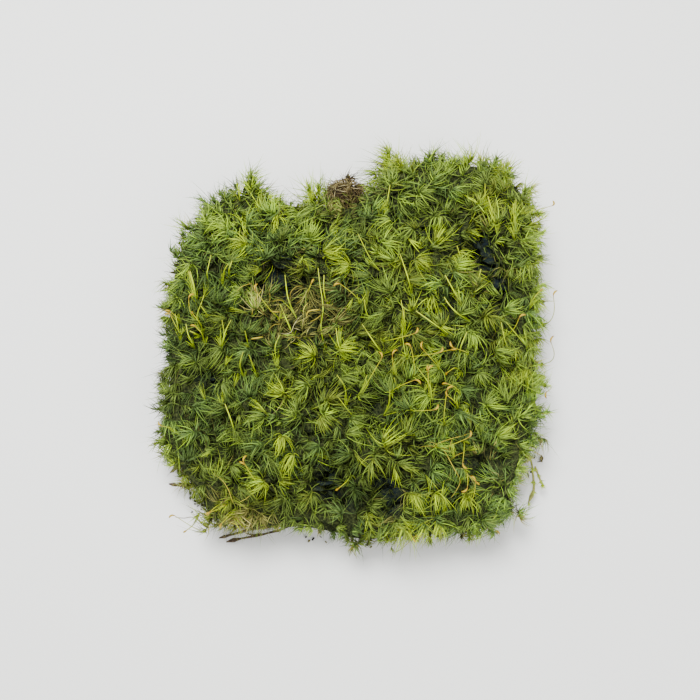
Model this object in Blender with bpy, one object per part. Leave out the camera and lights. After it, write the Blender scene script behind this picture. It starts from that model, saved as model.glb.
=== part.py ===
# A clump of broom moss, cut off flat at the ground.
#
# Leafy shoots make one living cushion on a mat of thatch and soil. Seed stalks with curved
# capsules stand on the shoots, and a few dead stems hang at the edge.
# Lengths are in millimetres. The origin is at the middle of the cut, with +Z up and the
# side nearest the viewer at -Y.
import math
import random

import bmesh
import bpy
from mathutils import Vector, noise
from mathutils.bvhtree import BVHTree

MM = 0.001
GAP = 0.3
SEED = 11

# Heights above the cut
MAT_TOP = 14.0
RIM_HEIGHT = 21.0
CROWN_HEIGHT = 45.0
CUSHION_BASE = MAT_TOP + GAP

# Side view of the cushion: a flat crown that turns down steeply and tucks in under its rim
CROWN_SQUARENESS = 2.6
UNDERCUT = 5.5
MEAN_RADIUS = 78.0
SWELL = 1.6
SWELL_LENGTH = 38.0
SWELL_NOISE = 3.1

# Tips of the outermost leaves seen from above, as x and y, anticlockwise from +X
CUSHION_OUTLINE = [
    (74, 2), (77, 20), (78, 34), (76, 41), (77, 53), (72, 70), (62, 80), (48, 81), (30, 82),
    (17, 81), (8, 69), (-6, 56), (-14, 64), (-22, 61), (-34, 64), (-43, 71), (-54, 65),
    (-67, 58), (-71, 46), (-76, 37), (-78, 18), (-77, -3), (-79, -24), (-79, -40), (-68, -54),
    (-63, -64), (-59, -72), (-38, -74), (-17, -73), (-4, -78), (30, -76), (54, -75), (67, -67),
    (63, -57), (67, -49), (76, -35), (76, -14),
]

# Hollows where the shoots stand lower: x, y, radius and depth
HOLLOWS = [
    (-29, 24, 10, 12), (-21, 4, 12, 3), (-6, 57, 9, 8), (-13, 50, 5, 5), (51, 32, 8, 7),
    (-10, -53, 7, 6), (11, -60, 6, 6), (6, -26, 5, 4), (3, -37, 5, 3), (22, -47, 5, 4),
    (47, -47, 7, 5),
]

# Middles of the plainest star-shaped shoots seen from above
LARGE_SHOOTS = [
    (-42, 66), (-59, 52), (-51, 48), (-44, 40), (-34, 35), (-20, 30), (-23, 51), (-66, 33),
    (-2, 30), (-6, 42), (18, 58), (35, 50), (10, 39), (24, 32), (45, 45), (42, 12), (47, 3),
    (33, 6), (22, 13), (14, 48), (70, 32), (-49, -24), (-34, -28), (-27, -20), (-13, -30),
    (-27, -36), (-23, -43), (-34, -54), (-18, -59), (-64, -35), (-54, -53), (-6, -3), (-5, -65),
    (48, -12), (68, -10), (14, -20), (11, -37), (19, -47), (24, -59), (43, -60), (56, -37),
    (59, -23), (6, -47), (34, -32), (55, -52), (33, -59), (54, -3), (-16, -5),
]
SHOOT_SPACING_TOP = 8.4
SHOOT_SPACING_SIDE = 10.0
LEAST_SPACING = 7.0
SCATTER_TRIES = 9000
LOWEST_SHOOT_SHARE = 0.94
LOWEST_SHARE_FROM_ABOVE = 0.8

# How far below the leaf tips' envelope each point of a star-shaped shoot lies
SHOOT_TIP_DROP = (0.0, 2.2)
LEAF_END_DROP = (2.8, 5.0)
LEAF_NOTCH_DROP = (5.0, 6.6)
CLEFT_DROP = (8.0, 11.0)
SIDE_DROP_SHARE = 0.62
NOTCH_REACH = 0.36

# The cushion is laid out on a ball: polar angle of its under edge, and of the flat under it
BASE_POLAR = math.radians(125)
INNER_BASE_POLAR = math.radians(152)
SIDE_POLAR = math.radians(84)
UPRIGHT_POLAR = math.radians(45)
UPRIGHT_ENOUGH = 0.6
BASE_POINTS = 48
INNER_BASE_POINTS = 16
INNER_BASE_SHARE = 0.5

# Mat of thatch and soil: height share and inset from the cushion's outline, level by level
MAT_POINTS = 64
MAT_LEVELS = [(0.0, 12.0), (0.28, 9.4), (0.52, 7.9), (0.78, 8.6), (1.0, 10.4)]
MAT_ROUGHNESS = 1.6
MAT_GRAIN = 4.0
MAT_SIDE_NOISE = 5.3
MAT_LIFT_NOISE = 8.9
# Bare stretches that stick out past the shoots: bearing, half width and extra reach
MAT_BARE = [(93, 11, 13), (223, 9, 5), (318, 7, 5), (268, 6, 2)]

# Wad of dead thatch in the notch at the far edge
WAD_CENTRE = (-3.6, 63.5, 20.5)
WAD_RADII = (7.5, 6.5, 7.5)
WAD_ROUGHNESS = 0.3
WAD_GRAIN = 3.2
WAD_NOISE = 1.7
WAD_CLEARANCE = 1.2
WAD_STEPS = 40
WAD_STEP = 0.06

# Seed stalks: where each leaves the shoots (x, y) and where its capsule starts (x, y, z)
SEED_STALKS = [
    ((11, 0), (22, 1, 55)), ((22, -14), (21, -4, 54)), ((32, -11), (25, -5, 57)),
    ((20, -6), (31, -6, 54)), ((15, -13), (14, -7, 54)), ((1, -21), (10, -8, 53)),
    ((16, -17), (22, -16, 53)), ((21, -26), (29, -27, 53)), ((34, -32), (34, -20, 53)),
    ((28, -21), (27, -13, 56)), ((43, 0), (37, -4, 53)), ((-28, 9), (-37, 18, 51)),
    ((2, 14), (-5, 20, 53)), ((-61, 9), (-63, 16, 45)), ((-68, 4), (-71, 11, 37)),
    ((70, 13), (78, 19, 34)), ((66, 52), (78, 55, 36)), ((70, -2), (77, 1, 32)),
    ((31, -40), (42, -37, 50)), ((34, -41), (40, -46, 48)), ((35, -45), (42, -55, 45)),
    ((-62, -64), (-70, -66, 22)), ((50, -68), (55, -72, 20)), ((59, 3), (62, 8, 48)),
    ((-35, -49), (-41, -46, 46)), ((38, -58), (45, -53, 45)), ((20, -70), (23, -74, 28)),
    ((69, -17), (75, -18, 32)),
]
STALK_RADIUS = 0.26
STALK_POINTS = 6
STALK_STRAIGHTNESS = 0.85
LEAST_STALK_RISE = 4.0
STALK_FOOT_GAP = 0.45
USUAL_STALK_RISE = 9.0
# A stalk bows to one side by up to this share of its length, and its capsule the same way
STALK_BOW = (0.06, 0.2)
CAPSULE_LENGTH = 3.6
CAPSULE_BEND = math.radians(110)
CAPSULE_DROOP = 0.45
# Share of the capsule's length, and radius there
CAPSULE_PROFILE = [(0.12, 0.36), (0.34, 0.56), (0.56, 0.62), (0.8, 0.52), (1.0, 0.22)]

# Loose stems at the edge, from the end held in the mat: points and radius along each
LOOSE_STEMS = {
    "twig": [
        (-64.6, -54.0, 9.6, 0.45), (-67.8, -54.6, 9.4, 0.5), (-71.0, -54.0, 9.0, 0.42),
        (-75.0, -53.4, 8.8, 0.3),
    ],
    "dead_blade": [
        (-67.4, -45.0, 12.0, 0.4), (-69.8, -46.3, 12.2, 0.5), (-72.0, -47.5, 12.2, 0.5),
        (-74.2, -48.9, 11.6, 0.25),
    ],
    "dead_stem_1": [
        (-29.0, -66.0, 8.8, 0.35), (-31.2, -69.8, 8.4, 0.4), (-36.0, -71.0, 8.0, 0.5),
        (-41.0, -71.4, 7.4, 0.5), (-46.0, -72.8, 7.0, 0.5), (-50.4, -74.0, 6.6, 0.4),
        (-54.6, -75.1, 6.0, 0.25),
    ],
    "dead_stem_2": [
        (-25.0, -66.0, 5.2, 0.3), (-27.0, -70.6, 5.0, 0.35), (-34.9, -73.2, 4.6, 0.4),
        (-40.0, -74.4, 4.2, 0.45), (-46.0, -75.4, 4.0, 0.4), (-52.0, -76.8, 3.6, 0.25),
    ],
    "stray_shoot": [
        (67.0, -38.0, 12.6, 0.4), (70.7, -42.6, 12.6, 0.5), (72.2, -47.0, 10.8, 0.5),
        (72.9, -52.0, 8.6, 0.55), (73.2, -56.2, 6.6, 0.6), (71.4, -60.7, 4.6, 0.35),
    ],
}
FORK_NAME = "stray_shoot_fork"
FORK_POINTS = [
    (73.3, -46.4, 10.4, 0.35), (74.6, -49.4, 9.4, 0.4), (75.8, -52.0, 8.2, 0.5),
    (76.6, -53.6, 7.4, 0.4),
]


def remove_everything():
    for thing in list(bpy.data.objects):
        bpy.data.objects.remove(thing, do_unlink=True)


def new_collection(name):
    collection = bpy.data.collections.new(name)
    bpy.context.scene.collection.children.link(collection)
    return collection


def new_material(name, colour, roughness):
    material = bpy.data.materials.new(name)
    material.use_nodes = True
    shader = material.node_tree.nodes["Principled BSDF"]
    shader.inputs["Base Color"].default_value = (*colour, 1.0)
    shader.inputs["Roughness"].default_value = roughness
    shader.inputs["Metallic"].default_value = 0.0
    material.diffuse_color = (*colour, 1.0)
    return material


def object_from_bmesh(name, shape, collection, material):
    bmesh.ops.scale(shape, vec=(MM, MM, MM), verts=shape.verts[:])
    mesh = bpy.data.meshes.new(name)
    shape.to_mesh(mesh)
    shape.free()
    mesh.materials.append(material)
    thing = bpy.data.objects.new(name, mesh)
    collection.objects.link(thing)
    return thing


def rough(place, length, seed):
    return noise.noise(Vector(place) / length + Vector((seed, 2.0 * seed, 0.5 * seed)))


class Outline:
    # A closed edge seen from above, as the reach from the origin at each bearing
    def __init__(self, points):
        polar = [(math.atan2(y, x) % math.tau, math.hypot(x, y)) for x, y in points]
        polar.sort()
        first, last = polar[0], polar[-1]
        before = (last[0] - math.tau, last[1])
        after = (first[0] + math.tau, first[1])
        self.polar = [before, *polar, after]

    def reach(self, bearing):
        bearing %= math.tau
        for (angle_a, reach_a), (angle_b, reach_b) in zip(self.polar, self.polar[1:]):
            if angle_a <= bearing <= angle_b:
                share = (bearing - angle_a) / (angle_b - angle_a)
                return reach_a + (reach_b - reach_a) * share
        return self.polar[0][1]


def side_profile():
    # Distance along the side view from the crown, with the reach and height there
    steps = 60
    power = 2.0 / CROWN_SQUARENESS
    points = []
    for step in range(steps + 1):
        turn = 0.5 * math.pi * step / steps
        reach = MEAN_RADIUS * math.sin(turn) ** power
        height = RIM_HEIGHT + (CROWN_HEIGHT - RIM_HEIGHT) * max(math.cos(turn), 0.0) ** power
        points.append((reach / MEAN_RADIUS, 0.0, height))
    under_steps = 10
    for step in range(1, under_steps + 1):
        turn = 0.5 * math.pi * step / under_steps
        inset = UNDERCUT * (1.0 - math.cos(turn))
        height = RIM_HEIGHT - (RIM_HEIGHT - CUSHION_BASE) * math.sin(turn)
        points.append((1.0, inset, height))
    along = [0.0]
    for here, there in zip(points, points[1:]):
        step_out = (there[0] - here[0]) * MEAN_RADIUS - (there[1] - here[1])
        along.append(along[-1] + math.hypot(step_out, there[2] - here[2]))
    return [(length / along[-1], *point) for length, point in zip(along, points)]


PROFILE = side_profile()
EDGE = Outline(CUSHION_OUTLINE)


def dome_place(bearing, share):
    # A place on the smooth cushion: share runs from 0 at the crown to 1 at the under edge
    for here, there in zip(PROFILE, PROFILE[1:]):
        if share <= there[0]:
            break
    part = min(max((share - here[0]) / (there[0] - here[0]), 0.0), 1.0)
    reach_share, inset, height = (a + (b - a) * part for a, b in zip(here[1:], there[1:]))
    reach = EDGE.reach(bearing) * reach_share - inset
    x = reach * math.cos(bearing)
    y = reach * math.sin(bearing)
    lift = SWELL * rough((x, y, 0.0), SWELL_LENGTH, SWELL_NOISE)
    lift -= sum(depth * math.exp(-((x - hx) ** 2 + (y - hy) ** 2) / size**2)
                for hx, hy, size, depth in HOLLOWS)
    above_rim = min(max((height - RIM_HEIGHT) / (CROWN_HEIGHT - RIM_HEIGHT), 0.0), 1.0)
    return Vector((x, y, height + lift * above_rim**0.5))


def ball_direction(bearing, polar):
    side = math.sin(polar)
    return Vector((side * math.cos(bearing), side * math.sin(bearing), math.cos(polar)))


def growth_direction(bearing, polar):
    # Shoots on the crown stand upright, and turn outwards over the rim
    turned = min(max((polar - UPRIGHT_POLAR) / (BASE_POLAR - UPRIGHT_POLAR), 0.0), 1.0)
    lean = 0.5 * math.pi * turned * turned * (3.0 - 2.0 * turned)
    return ball_direction(bearing, lean)


def bearing_and_polar(direction):
    unit = direction.normalized()
    return math.atan2(unit.y, unit.x), math.acos(min(max(unit.z, -1.0), 1.0))


def share_seen_from_above(x, y):
    # The share at which the upper side of the cushion stands over this point
    wanted = math.hypot(x, y) / EDGE.reach(math.atan2(y, x))
    for here, there in zip(PROFILE, PROFILE[1:]):
        if there[1] >= wanted or there[2] > 0.0:
            break
    part = (wanted - here[1]) / max(there[1] - here[1], 1e-6)
    return min(max(here[0] + (there[0] - here[0]) * part, 0.0), LOWEST_SHARE_FROM_ABOVE)


def shoot_directions(rng):
    # The plainest shoots first, then others wherever there is room between them
    places = []
    directions = []

    def try_shoot(bearing, share, spacing):
        place = dome_place(bearing, share)
        if all((place - other).length > spacing for other in places):
            places.append(place)
            directions.append(ball_direction(bearing, share * BASE_POLAR))

    for x, y in LARGE_SHOOTS + [root for root, _ in SEED_STALKS]:
        try_shoot(math.atan2(y, x), share_seen_from_above(x, y), LEAST_SPACING)
    lowest = math.cos(LOWEST_SHOOT_SHARE * BASE_POLAR)
    for _ in range(SCATTER_TRIES):
        bearing = rng.uniform(0.0, math.tau)
        polar = math.acos(rng.uniform(lowest, 1.0))
        spacing = SHOOT_SPACING_TOP if polar < SIDE_POLAR else SHOOT_SPACING_SIDE
        try_shoot(bearing, polar / BASE_POLAR, spacing)
    return directions


def base_directions():
    under_edge = [ball_direction(math.tau * step / BASE_POINTS, BASE_POLAR)
                  for step in range(BASE_POINTS)]
    inner = [ball_direction(math.tau * step / INNER_BASE_POINTS, INNER_BASE_POLAR)
             for step in range(INNER_BASE_POINTS)]
    return under_edge + inner + [Vector((0.0, 0.0, -1.0))]


def base_place(direction):
    bearing, polar = bearing_and_polar(direction)
    reach = EDGE.reach(bearing) - UNDERCUT
    if polar > 0.5 * (INNER_BASE_POLAR + math.pi):
        reach = 0.0
    elif polar > 0.5 * (BASE_POLAR + INNER_BASE_POLAR):
        reach *= INNER_BASE_SHARE
    return Vector((reach * math.cos(bearing), reach * math.sin(bearing), CUSHION_BASE))


def cut_stars(shape, outward):
    # Each two shoots get touching leaf ends between them, and each three a cleft
    shoots = list(outward)
    living = [face for face in shape.faces if all(vert in outward for vert in face.verts)]
    shared_edges = []
    for face in living:
        shared_edges += [edge for edge in face.edges if edge not in shared_edges]
    clefts = bmesh.ops.poke(shape, faces=living)["verts"]
    for cleft in clefts:
        around = [edge.other_vert(cleft) for edge in cleft.link_edges]
        outward[cleft] = sum((outward[vert] for vert in around), Vector()).normalized()
    leaf_ends = []
    for edge in shared_edges:
        sides = [outward[vert] for vert in edge.verts]
        leaf_ends.append(bmesh.utils.edge_split(edge, edge.verts[0], 0.5)[1])
        outward[leaf_ends[-1]] = (sides[0] + sides[1]).normalized()
    notches = []
    for cleft in clefts:
        if outward[cleft].z < UPRIGHT_ENOUGH:
            continue
        for edge in list(cleft.link_edges):
            shoot = edge.other_vert(cleft)
            notches.append(bmesh.utils.edge_split(edge, shoot, NOTCH_REACH)[1])
            outward[notches[-1]] = outward[shoot]
    for cleft in clefts:
        for face in list(cleft.link_faces):
            leaf_end = next(vert for vert in face.verts if vert in leaf_ends)
            halves = [face, bmesh.utils.face_split(face, leaf_end, cleft)[0]]
            for half in halves:
                notch = next((vert for vert in half.verts if vert in notches), None)
                if notch:
                    bmesh.utils.face_split(half, leaf_end, notch)
    bmesh.ops.triangulate(shape, faces=[face for face in shape.faces if len(face.verts) > 3])
    return shoots, leaf_ends, notches, clefts


def build_cushion(collection):
    rng = random.Random(SEED)
    shape = bmesh.new()
    shoots = [shape.verts.new(direction) for direction in shoot_directions(rng)]
    base = [shape.verts.new(direction) for direction in base_directions()]
    bmesh.ops.convex_hull(shape, input=shape.verts[:])
    bmesh.ops.recalc_face_normals(shape, faces=shape.faces[:])

    outward = {}
    for vert in shoots:
        bearing, polar = bearing_and_polar(vert.co)
        outward[vert] = growth_direction(bearing, polar)
        vert.co = dome_place(bearing, polar / BASE_POLAR)
    for vert in base:
        vert.co = base_place(vert.co)
    shoots, leaf_ends, notches, clefts = cut_stars(shape, outward)

    drops = [(shoots, SHOOT_TIP_DROP), (leaf_ends, LEAF_END_DROP),
             (notches, LEAF_NOTCH_DROP), (clefts, CLEFT_DROP)]
    for group, (least, most) in drops:
        for vert in group:
            on_side = outward[vert].z < UPRIGHT_ENOUGH
            drop = rng.uniform(least, most) * (SIDE_DROP_SHARE if on_side else 1.0)
            vert.co -= outward[vert] * drop
            vert.co.z = max(vert.co.z, CUSHION_BASE + GAP)

    tips = [(vert.co.copy(), outward[vert]) for vert in shoots]
    surface = BVHTree.FromBMesh(shape)
    green = new_material("moss_green", (0.16, 0.26, 0.035), 0.6)
    object_from_bmesh("moss_cushion", shape, collection, green)
    return tips, surface


def mat_reach(bearing, inset):
    reach = EDGE.reach(bearing) - inset
    for degrees, half_width, extra in MAT_BARE:
        away = (math.degrees(bearing) - degrees + 180.0) % 360.0 - 180.0
        reach += extra * math.exp(-((away / half_width) ** 2))
    return reach


def build_mat(collection):
    mat = bmesh.new()
    bmesh.ops.create_cone(mat, cap_ends=True, cap_tris=False, segments=MAT_POINTS,
                          radius1=1.0, radius2=1.0, depth=1.0)
    bmesh.ops.translate(mat, verts=mat.verts[:], vec=(0.0, 0.0, 0.5))
    upright = [edge for edge in mat.edges if abs(edge.verts[0].co.z - edge.verts[1].co.z) > 0.5]
    bmesh.ops.subdivide_edges(mat, edges=upright, cuts=len(MAT_LEVELS) - 2)
    for vert in mat.verts:
        level = round(vert.co.z * (len(MAT_LEVELS) - 1))
        height_share, inset = MAT_LEVELS[level]
        bearing = math.atan2(vert.co.y, vert.co.x)
        reach = mat_reach(bearing, inset)
        place = Vector((reach * math.cos(bearing), reach * math.sin(bearing),
                        height_share * MAT_TOP))
        reach_change = MAT_ROUGHNESS * rough(place, MAT_GRAIN, MAT_SIDE_NOISE)
        place.x += reach_change * math.cos(bearing)
        place.y += reach_change * math.sin(bearing)
        if 0.0 < height_share < 1.0:
            place.z += 0.5 * MAT_ROUGHNESS * rough(place, MAT_GRAIN, MAT_LIFT_NOISE)
        vert.co = place
    bmesh.ops.recalc_face_normals(mat, faces=mat.faces[:])
    surface = BVHTree.FromBMesh(mat)
    brown = new_material("thatch_brown", (0.09, 0.06, 0.035), 0.9)
    object_from_bmesh("soil_mat", mat, collection, brown)
    return surface


def build_wad(collection, surface):
    wad = bmesh.new()
    bmesh.ops.create_icosphere(wad, subdivisions=3, radius=1.0)
    centre = Vector(WAD_CENTRE)
    for vert in wad.verts:
        outward = vert.co.normalized()
        reach = Vector((outward.x * WAD_RADII[0], outward.y * WAD_RADII[1],
                        outward.z * WAD_RADII[2]))
        reach *= 1.0 + WAD_ROUGHNESS * rough(centre + reach, WAD_GRAIN, WAD_NOISE)
        place = centre + reach
        place.z = max(place.z, CUSHION_BASE)
        for _ in range(WAD_STEPS):
            nearest, normal, _, away = surface.find_nearest(place)
            inside = (place - nearest).dot(normal) < 0.0
            if not inside and away > WAD_CLEARANCE:
                break
            place.x += WAD_STEP * (centre.x - place.x)
            place.y += WAD_STEP * (centre.y - place.y)
        vert.co = place
    brown = new_material("dead_thatch", (0.2, 0.13, 0.07), 0.85)
    object_from_bmesh("dead_thatch_wad", wad, collection, brown)


def tapered_stem(name, points, collection, material):
    # A round tube through the points, each with its own radius
    curve = bpy.data.curves.new(name, "CURVE")
    curve.dimensions = "3D"
    curve.bevel_depth = MM
    curve.bevel_resolution = 1
    curve.use_fill_caps = True
    spline = curve.splines.new("POLY")
    spline.points.add(len(points) - 1)
    for target, (x, y, z, radius) in zip(spline.points, points):
        target.co = (x * MM, y * MM, z * MM, 1.0)
        target.radius = radius
    curve.materials.append(material)
    thing = bpy.data.objects.new(name, curve)
    collection.objects.link(thing)
    return thing


def seed_stalk_points(foot, outward, tip, bow):
    # The stalk leaves its shoot upright and leans over, then the capsule curls aside and down
    rise = tip.z - foot.z
    upward = (outward + Vector((0.0, 0.0, 1.0))).normalized()
    aside = (tip - foot).cross(Vector((0.0, 0.0, 1.0)))
    middle = foot + upward * max(rise * STALK_STRAIGHTNESS, LEAST_STALK_RISE) + aside * bow
    points = []
    for step in range(STALK_POINTS):
        share = step / (STALK_POINTS - 1)
        place = foot.lerp(middle, share).lerp(middle.lerp(tip, share), share)
        points.append((*place, STALK_RADIUS))
    heading = (tip - middle).normalized()
    inward = -aside.normalized() * math.copysign(1.0, bow) - Vector((0.0, 0.0, CAPSULE_DROOP))
    inward = (inward - heading * inward.dot(heading)).normalized()
    bend_radius = CAPSULE_LENGTH / CAPSULE_BEND
    for share, radius in CAPSULE_PROFILE:
        turn = CAPSULE_BEND * share
        ahead = heading * bend_radius * math.sin(turn)
        curl = inward * bend_radius * (1.0 - math.cos(turn))
        points.append((*(tip + ahead + curl), radius))
    return points


def build_seed_stalks(collection, tips):
    free = list(tips)
    rng = random.Random(SEED)
    for number, ((x, y), capsule) in enumerate(SEED_STALKS, start=1):
        capsule = Vector(capsule)
        guess = Vector((x, y, capsule.z - USUAL_STALK_RISE))
        shoot = min(free, key=lambda entry: (entry[0] - guess).length)
        free.remove(shoot)
        foot = shoot[0] + shoot[1] * STALK_FOOT_GAP
        amber = new_material(f"seed_stalk_{number:02d}", (0.42, 0.3, 0.05), 0.5)
        bow = rng.choice((-1.0, 1.0)) * rng.uniform(*STALK_BOW)
        points = seed_stalk_points(foot, shoot[1], capsule, bow)
        tapered_stem(f"seed_stalk_{number:02d}", points, collection, amber)


def build_loose_stems(collection, mat_surface):
    for name, points in LOOSE_STEMS.items():
        root = Vector(points[0][:3])
        held_at, normal, _, _ = mat_surface.find_nearest(root)
        held = [(*(held_at + normal * GAP), points[0][3])]
        green = "stray" in name
        colour = (0.2, 0.27, 0.06) if green else (0.1, 0.07, 0.045)
        stem = new_material(name, colour, 0.8)
        tapered_stem(name, held + points[1:], collection, stem)
    fork = new_material(FORK_NAME, (0.15, 0.17, 0.05), 0.8)
    tapered_stem(FORK_NAME, FORK_POINTS, collection, fork)


def build():
    remove_everything()
    collection = new_collection("moss_clump")
    tips, surface = build_cushion(collection)
    mat_surface = build_mat(collection)
    build_wad(collection, surface)
    build_seed_stalks(collection, tips)
    build_loose_stems(collection, mat_surface)


build()
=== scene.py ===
# Broom moss clump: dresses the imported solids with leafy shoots, seed stalks and thatch.
# Lengths in the settings are millimetres unless a note says otherwise.
import math
import random

import bmesh
import bpy
import numpy as np
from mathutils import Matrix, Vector, noise
from mathutils.bvhtree import BVHTree
from mathutils.kdtree import KDTree


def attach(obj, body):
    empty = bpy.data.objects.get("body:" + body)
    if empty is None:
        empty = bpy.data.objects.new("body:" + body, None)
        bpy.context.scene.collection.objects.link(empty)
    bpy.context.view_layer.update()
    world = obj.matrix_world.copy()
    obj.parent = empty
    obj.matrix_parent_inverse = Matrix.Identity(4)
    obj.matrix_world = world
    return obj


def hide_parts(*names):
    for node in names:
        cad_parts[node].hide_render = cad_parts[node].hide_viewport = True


mm = 0.001
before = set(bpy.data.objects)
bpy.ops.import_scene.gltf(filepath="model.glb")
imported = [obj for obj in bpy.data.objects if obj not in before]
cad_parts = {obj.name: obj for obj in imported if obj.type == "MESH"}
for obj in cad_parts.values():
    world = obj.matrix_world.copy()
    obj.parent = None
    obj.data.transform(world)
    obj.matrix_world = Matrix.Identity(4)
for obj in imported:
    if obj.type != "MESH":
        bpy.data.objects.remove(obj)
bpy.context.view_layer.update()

cameraSettings = {
    "frameWidth": 700,
    "focalPixels": 1037.0,
    "elevation": 82.0,      # degrees above the floor
    "distance": 415.0,
    "target": (-1.6, -0.4, 22.0),
    "sensor": 36.0,
    "clipStart": 10.0,
}
floorSettings = {"size": 4000.0, "colour": (0.86, 0.87, 0.84), "roughness": 0.6}
lightSettings = {
    "world": 0.74,
    "keySize": 380.0, "keyPower": 19.0, "keyPlace": (-150.0, 300.0, 870.0),
    "fillSize": 900.0, "fillPower": 6.0, "fillPlace": (500.0, -500.0, 700.0),
}


# Node trees are written as sums: a Wire holds one output socket
class Wire:
    def __init__(self, sheet, socket):
        self.sheet = sheet
        self.socket = socket

    def isVector(self):
        return self.socket.type == "VECTOR"

    def combine(self, operation, other, swapped=False):
        otherIsVector = isinstance(other, Wire) and other.isVector()
        first, second = (other, self) if swapped else (self, other)
        if not (self.isVector() or otherIsVector):
            return self.sheet.add("ShaderNodeMath", {"operation": operation},
                                  {0: first, 1: second})
        if operation == "MULTIPLY" and not (self.isVector() and otherIsVector):
            vector, number = (self, other) if self.isVector() else (other, self)
            return self.sheet.add("ShaderNodeVectorMath", {"operation": "SCALE"},
                                  {0: vector, "Scale": number})
        return self.sheet.add("ShaderNodeVectorMath", {"operation": operation},
                              {0: first, 1: second})

    def __add__(self, other):
        return self.combine("ADD", other)

    def __radd__(self, other):
        return self.combine("ADD", other, True)

    def __sub__(self, other):
        return self.combine("SUBTRACT", other)

    def __rsub__(self, other):
        return self.combine("SUBTRACT", other, True)

    def __mul__(self, other):
        return self.combine("MULTIPLY", other)

    def __rmul__(self, other):
        return self.combine("MULTIPLY", other, True)

    def __truediv__(self, other):
        return self.combine("DIVIDE", other)

    def __pow__(self, other):
        return self.combine("POWER", other)


class NodeSheet:
    def __init__(self, tree):
        self.tree = tree
        self.count = 0

    def add(self, kind, settings=None, sockets=None, out=0):
        node = self.tree.nodes.new(kind)
        node.location = (180 * (self.count % 40), -220 * (self.count // 40))
        self.count += 1
        for name, value in (settings or {}).items():
            if name == "stops":
                self.setStops(node.color_ramp, value)
            else:
                setattr(node, name, value)
        for name, value in (sockets or {}).items():
            if isinstance(value, Wire):
                self.tree.links.new(value.socket, node.inputs[name])
            elif value is not None:
                node.inputs[name].default_value = value
        return Wire(self, node.outputs[out]) if node.outputs else node

    def setStops(self, ramp, stops):
        while len(ramp.elements) < len(stops):
            ramp.elements.new(0.5)
        for element, (place, colour) in zip(ramp.elements, stops):
            element.position = place
            element.color = (*colour, 1.0)

    def math(self, operation, *values):
        return self.add("ShaderNodeMath", {"operation": operation}, dict(enumerate(values)))

    def clamp(self, value):
        return self.add("ShaderNodeMath", {"operation": "ADD", "use_clamp": True},
                        {0: value, 1: 0.0})

    def vector(self, operation, *values):
        out = "Value" if operation == "DOT_PRODUCT" else "Vector"
        return self.add("ShaderNodeVectorMath", {"operation": operation},
                        dict(enumerate(values)), out)

    def part(self, vector, letter):
        return self.add("ShaderNodeSeparateXYZ", {}, {0: vector}, letter)

    def mixColour(self, share, first, second):
        return self.add("ShaderNodeMix", {"data_type": "RGBA"},
                        {0: share, 6: first, 7: second}, 2)

    def ramp(self, value, stops):
        return self.add("ShaderNodeValToRGB", {"stops": stops}, {0: value})


def newMaterial(name, viewColour):
    material = bpy.data.materials.new(name)
    material.use_nodes = True
    material.diffuse_color = (*viewColour, 1.0)
    material.node_tree.nodes.clear()
    return material, NodeSheet(material.node_tree)


def finishMaterial(sheet, colour, roughness, normal=None, shine=0.5):
    sockets = {"Base Color": colour, "Roughness": roughness, "Specular IOR Level": shine}
    if normal:
        sockets["Normal"] = normal
    shader = sheet.add("ShaderNodeBsdfPrincipled", {}, sockets)
    sheet.add("ShaderNodeOutputMaterial", {}, {"Surface": shader})


# Leaf colours: each leaf lies on one column of a palette, and runs along it from base to tip.
# The columns are five families of sixteen tones, dark to bright: three greens from cool to
# yellow, straw and brown.
paletteSettings = {
    "map": "OFBake",
    "tones": 16,
    "baseShade": -0.16,       # painted shade at a leaf's base
    "tipHighlight": 0.13,         # painted highlight at its tip
    "roughness": 0.5,
    "shine": 0.12,
    "viewColour": (0.16, 0.24, 0.04),
    "families": [
        [(0.0, (0.019, 0.035, 0.007)), (0.3, (0.048, 0.080, 0.015)), (0.6, (0.102, 0.168, 0.044)),
         (0.85, (0.205, 0.350, 0.050)), (1.0, (0.400, 0.670, 0.045))],
        [(0.0, (0.026, 0.038, 0.006)), (0.3, (0.066, 0.096, 0.013)), (0.6, (0.142, 0.206, 0.037)),
         (0.85, (0.268, 0.408, 0.040)), (1.0, (0.500, 0.760, 0.032))],
        [(0.0, (0.034, 0.043, 0.006)), (0.3, (0.090, 0.113, 0.012)), (0.6, (0.190, 0.240, 0.029)),
         (0.85, (0.334, 0.450, 0.017)), (1.0, (0.565, 0.770, 0.007))],
        [(0.0, (0.020, 0.018, 0.007)), (0.3, (0.070, 0.066, 0.018)), (0.6, (0.190, 0.184, 0.044)),
         (0.85, (0.420, 0.400, 0.092)), (1.0, (0.690, 0.650, 0.230))],
        [(0.0, (0.014, 0.010, 0.006)), (0.3, (0.050, 0.037, 0.015)), (0.6, (0.135, 0.103, 0.038)),
         (0.85, (0.330, 0.270, 0.105)), (1.0, (0.610, 0.530, 0.280))],
    ],
}


def paletteMaterial(name, settings):
    material, sheet = newMaterial(name, settings["viewColour"])
    families, tones = settings["families"], settings["tones"]
    columns = len(families) * tones
    place = sheet.add("ShaderNodeUVMap", {"uv_map": settings["map"]})
    along = sheet.part(place, "Y")
    column = sheet.math("FLOOR", sheet.part(place, "X") * columns)
    family = sheet.math("FLOOR", column / tones)
    tone = (column - family * tones) / (tones - 1.0)
    baseShade, tipHighlight = settings["baseShade"], settings["tipHighlight"]
    # painted shade darkens each leaf's base, and a painted highlight lightens its tip
    tone = sheet.clamp(tone + baseShade + along * (tipHighlight - baseShade))
    colour = sheet.ramp(tone, families[0])
    for index in range(1, len(families)):
        share = sheet.clamp(family - (index - 1.0))
        colour = sheet.mixColour(share, colour, sheet.ramp(tone, families[index]))
    finishMaterial(sheet, colour, settings["roughness"], None, settings["shine"])
    return material


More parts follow.
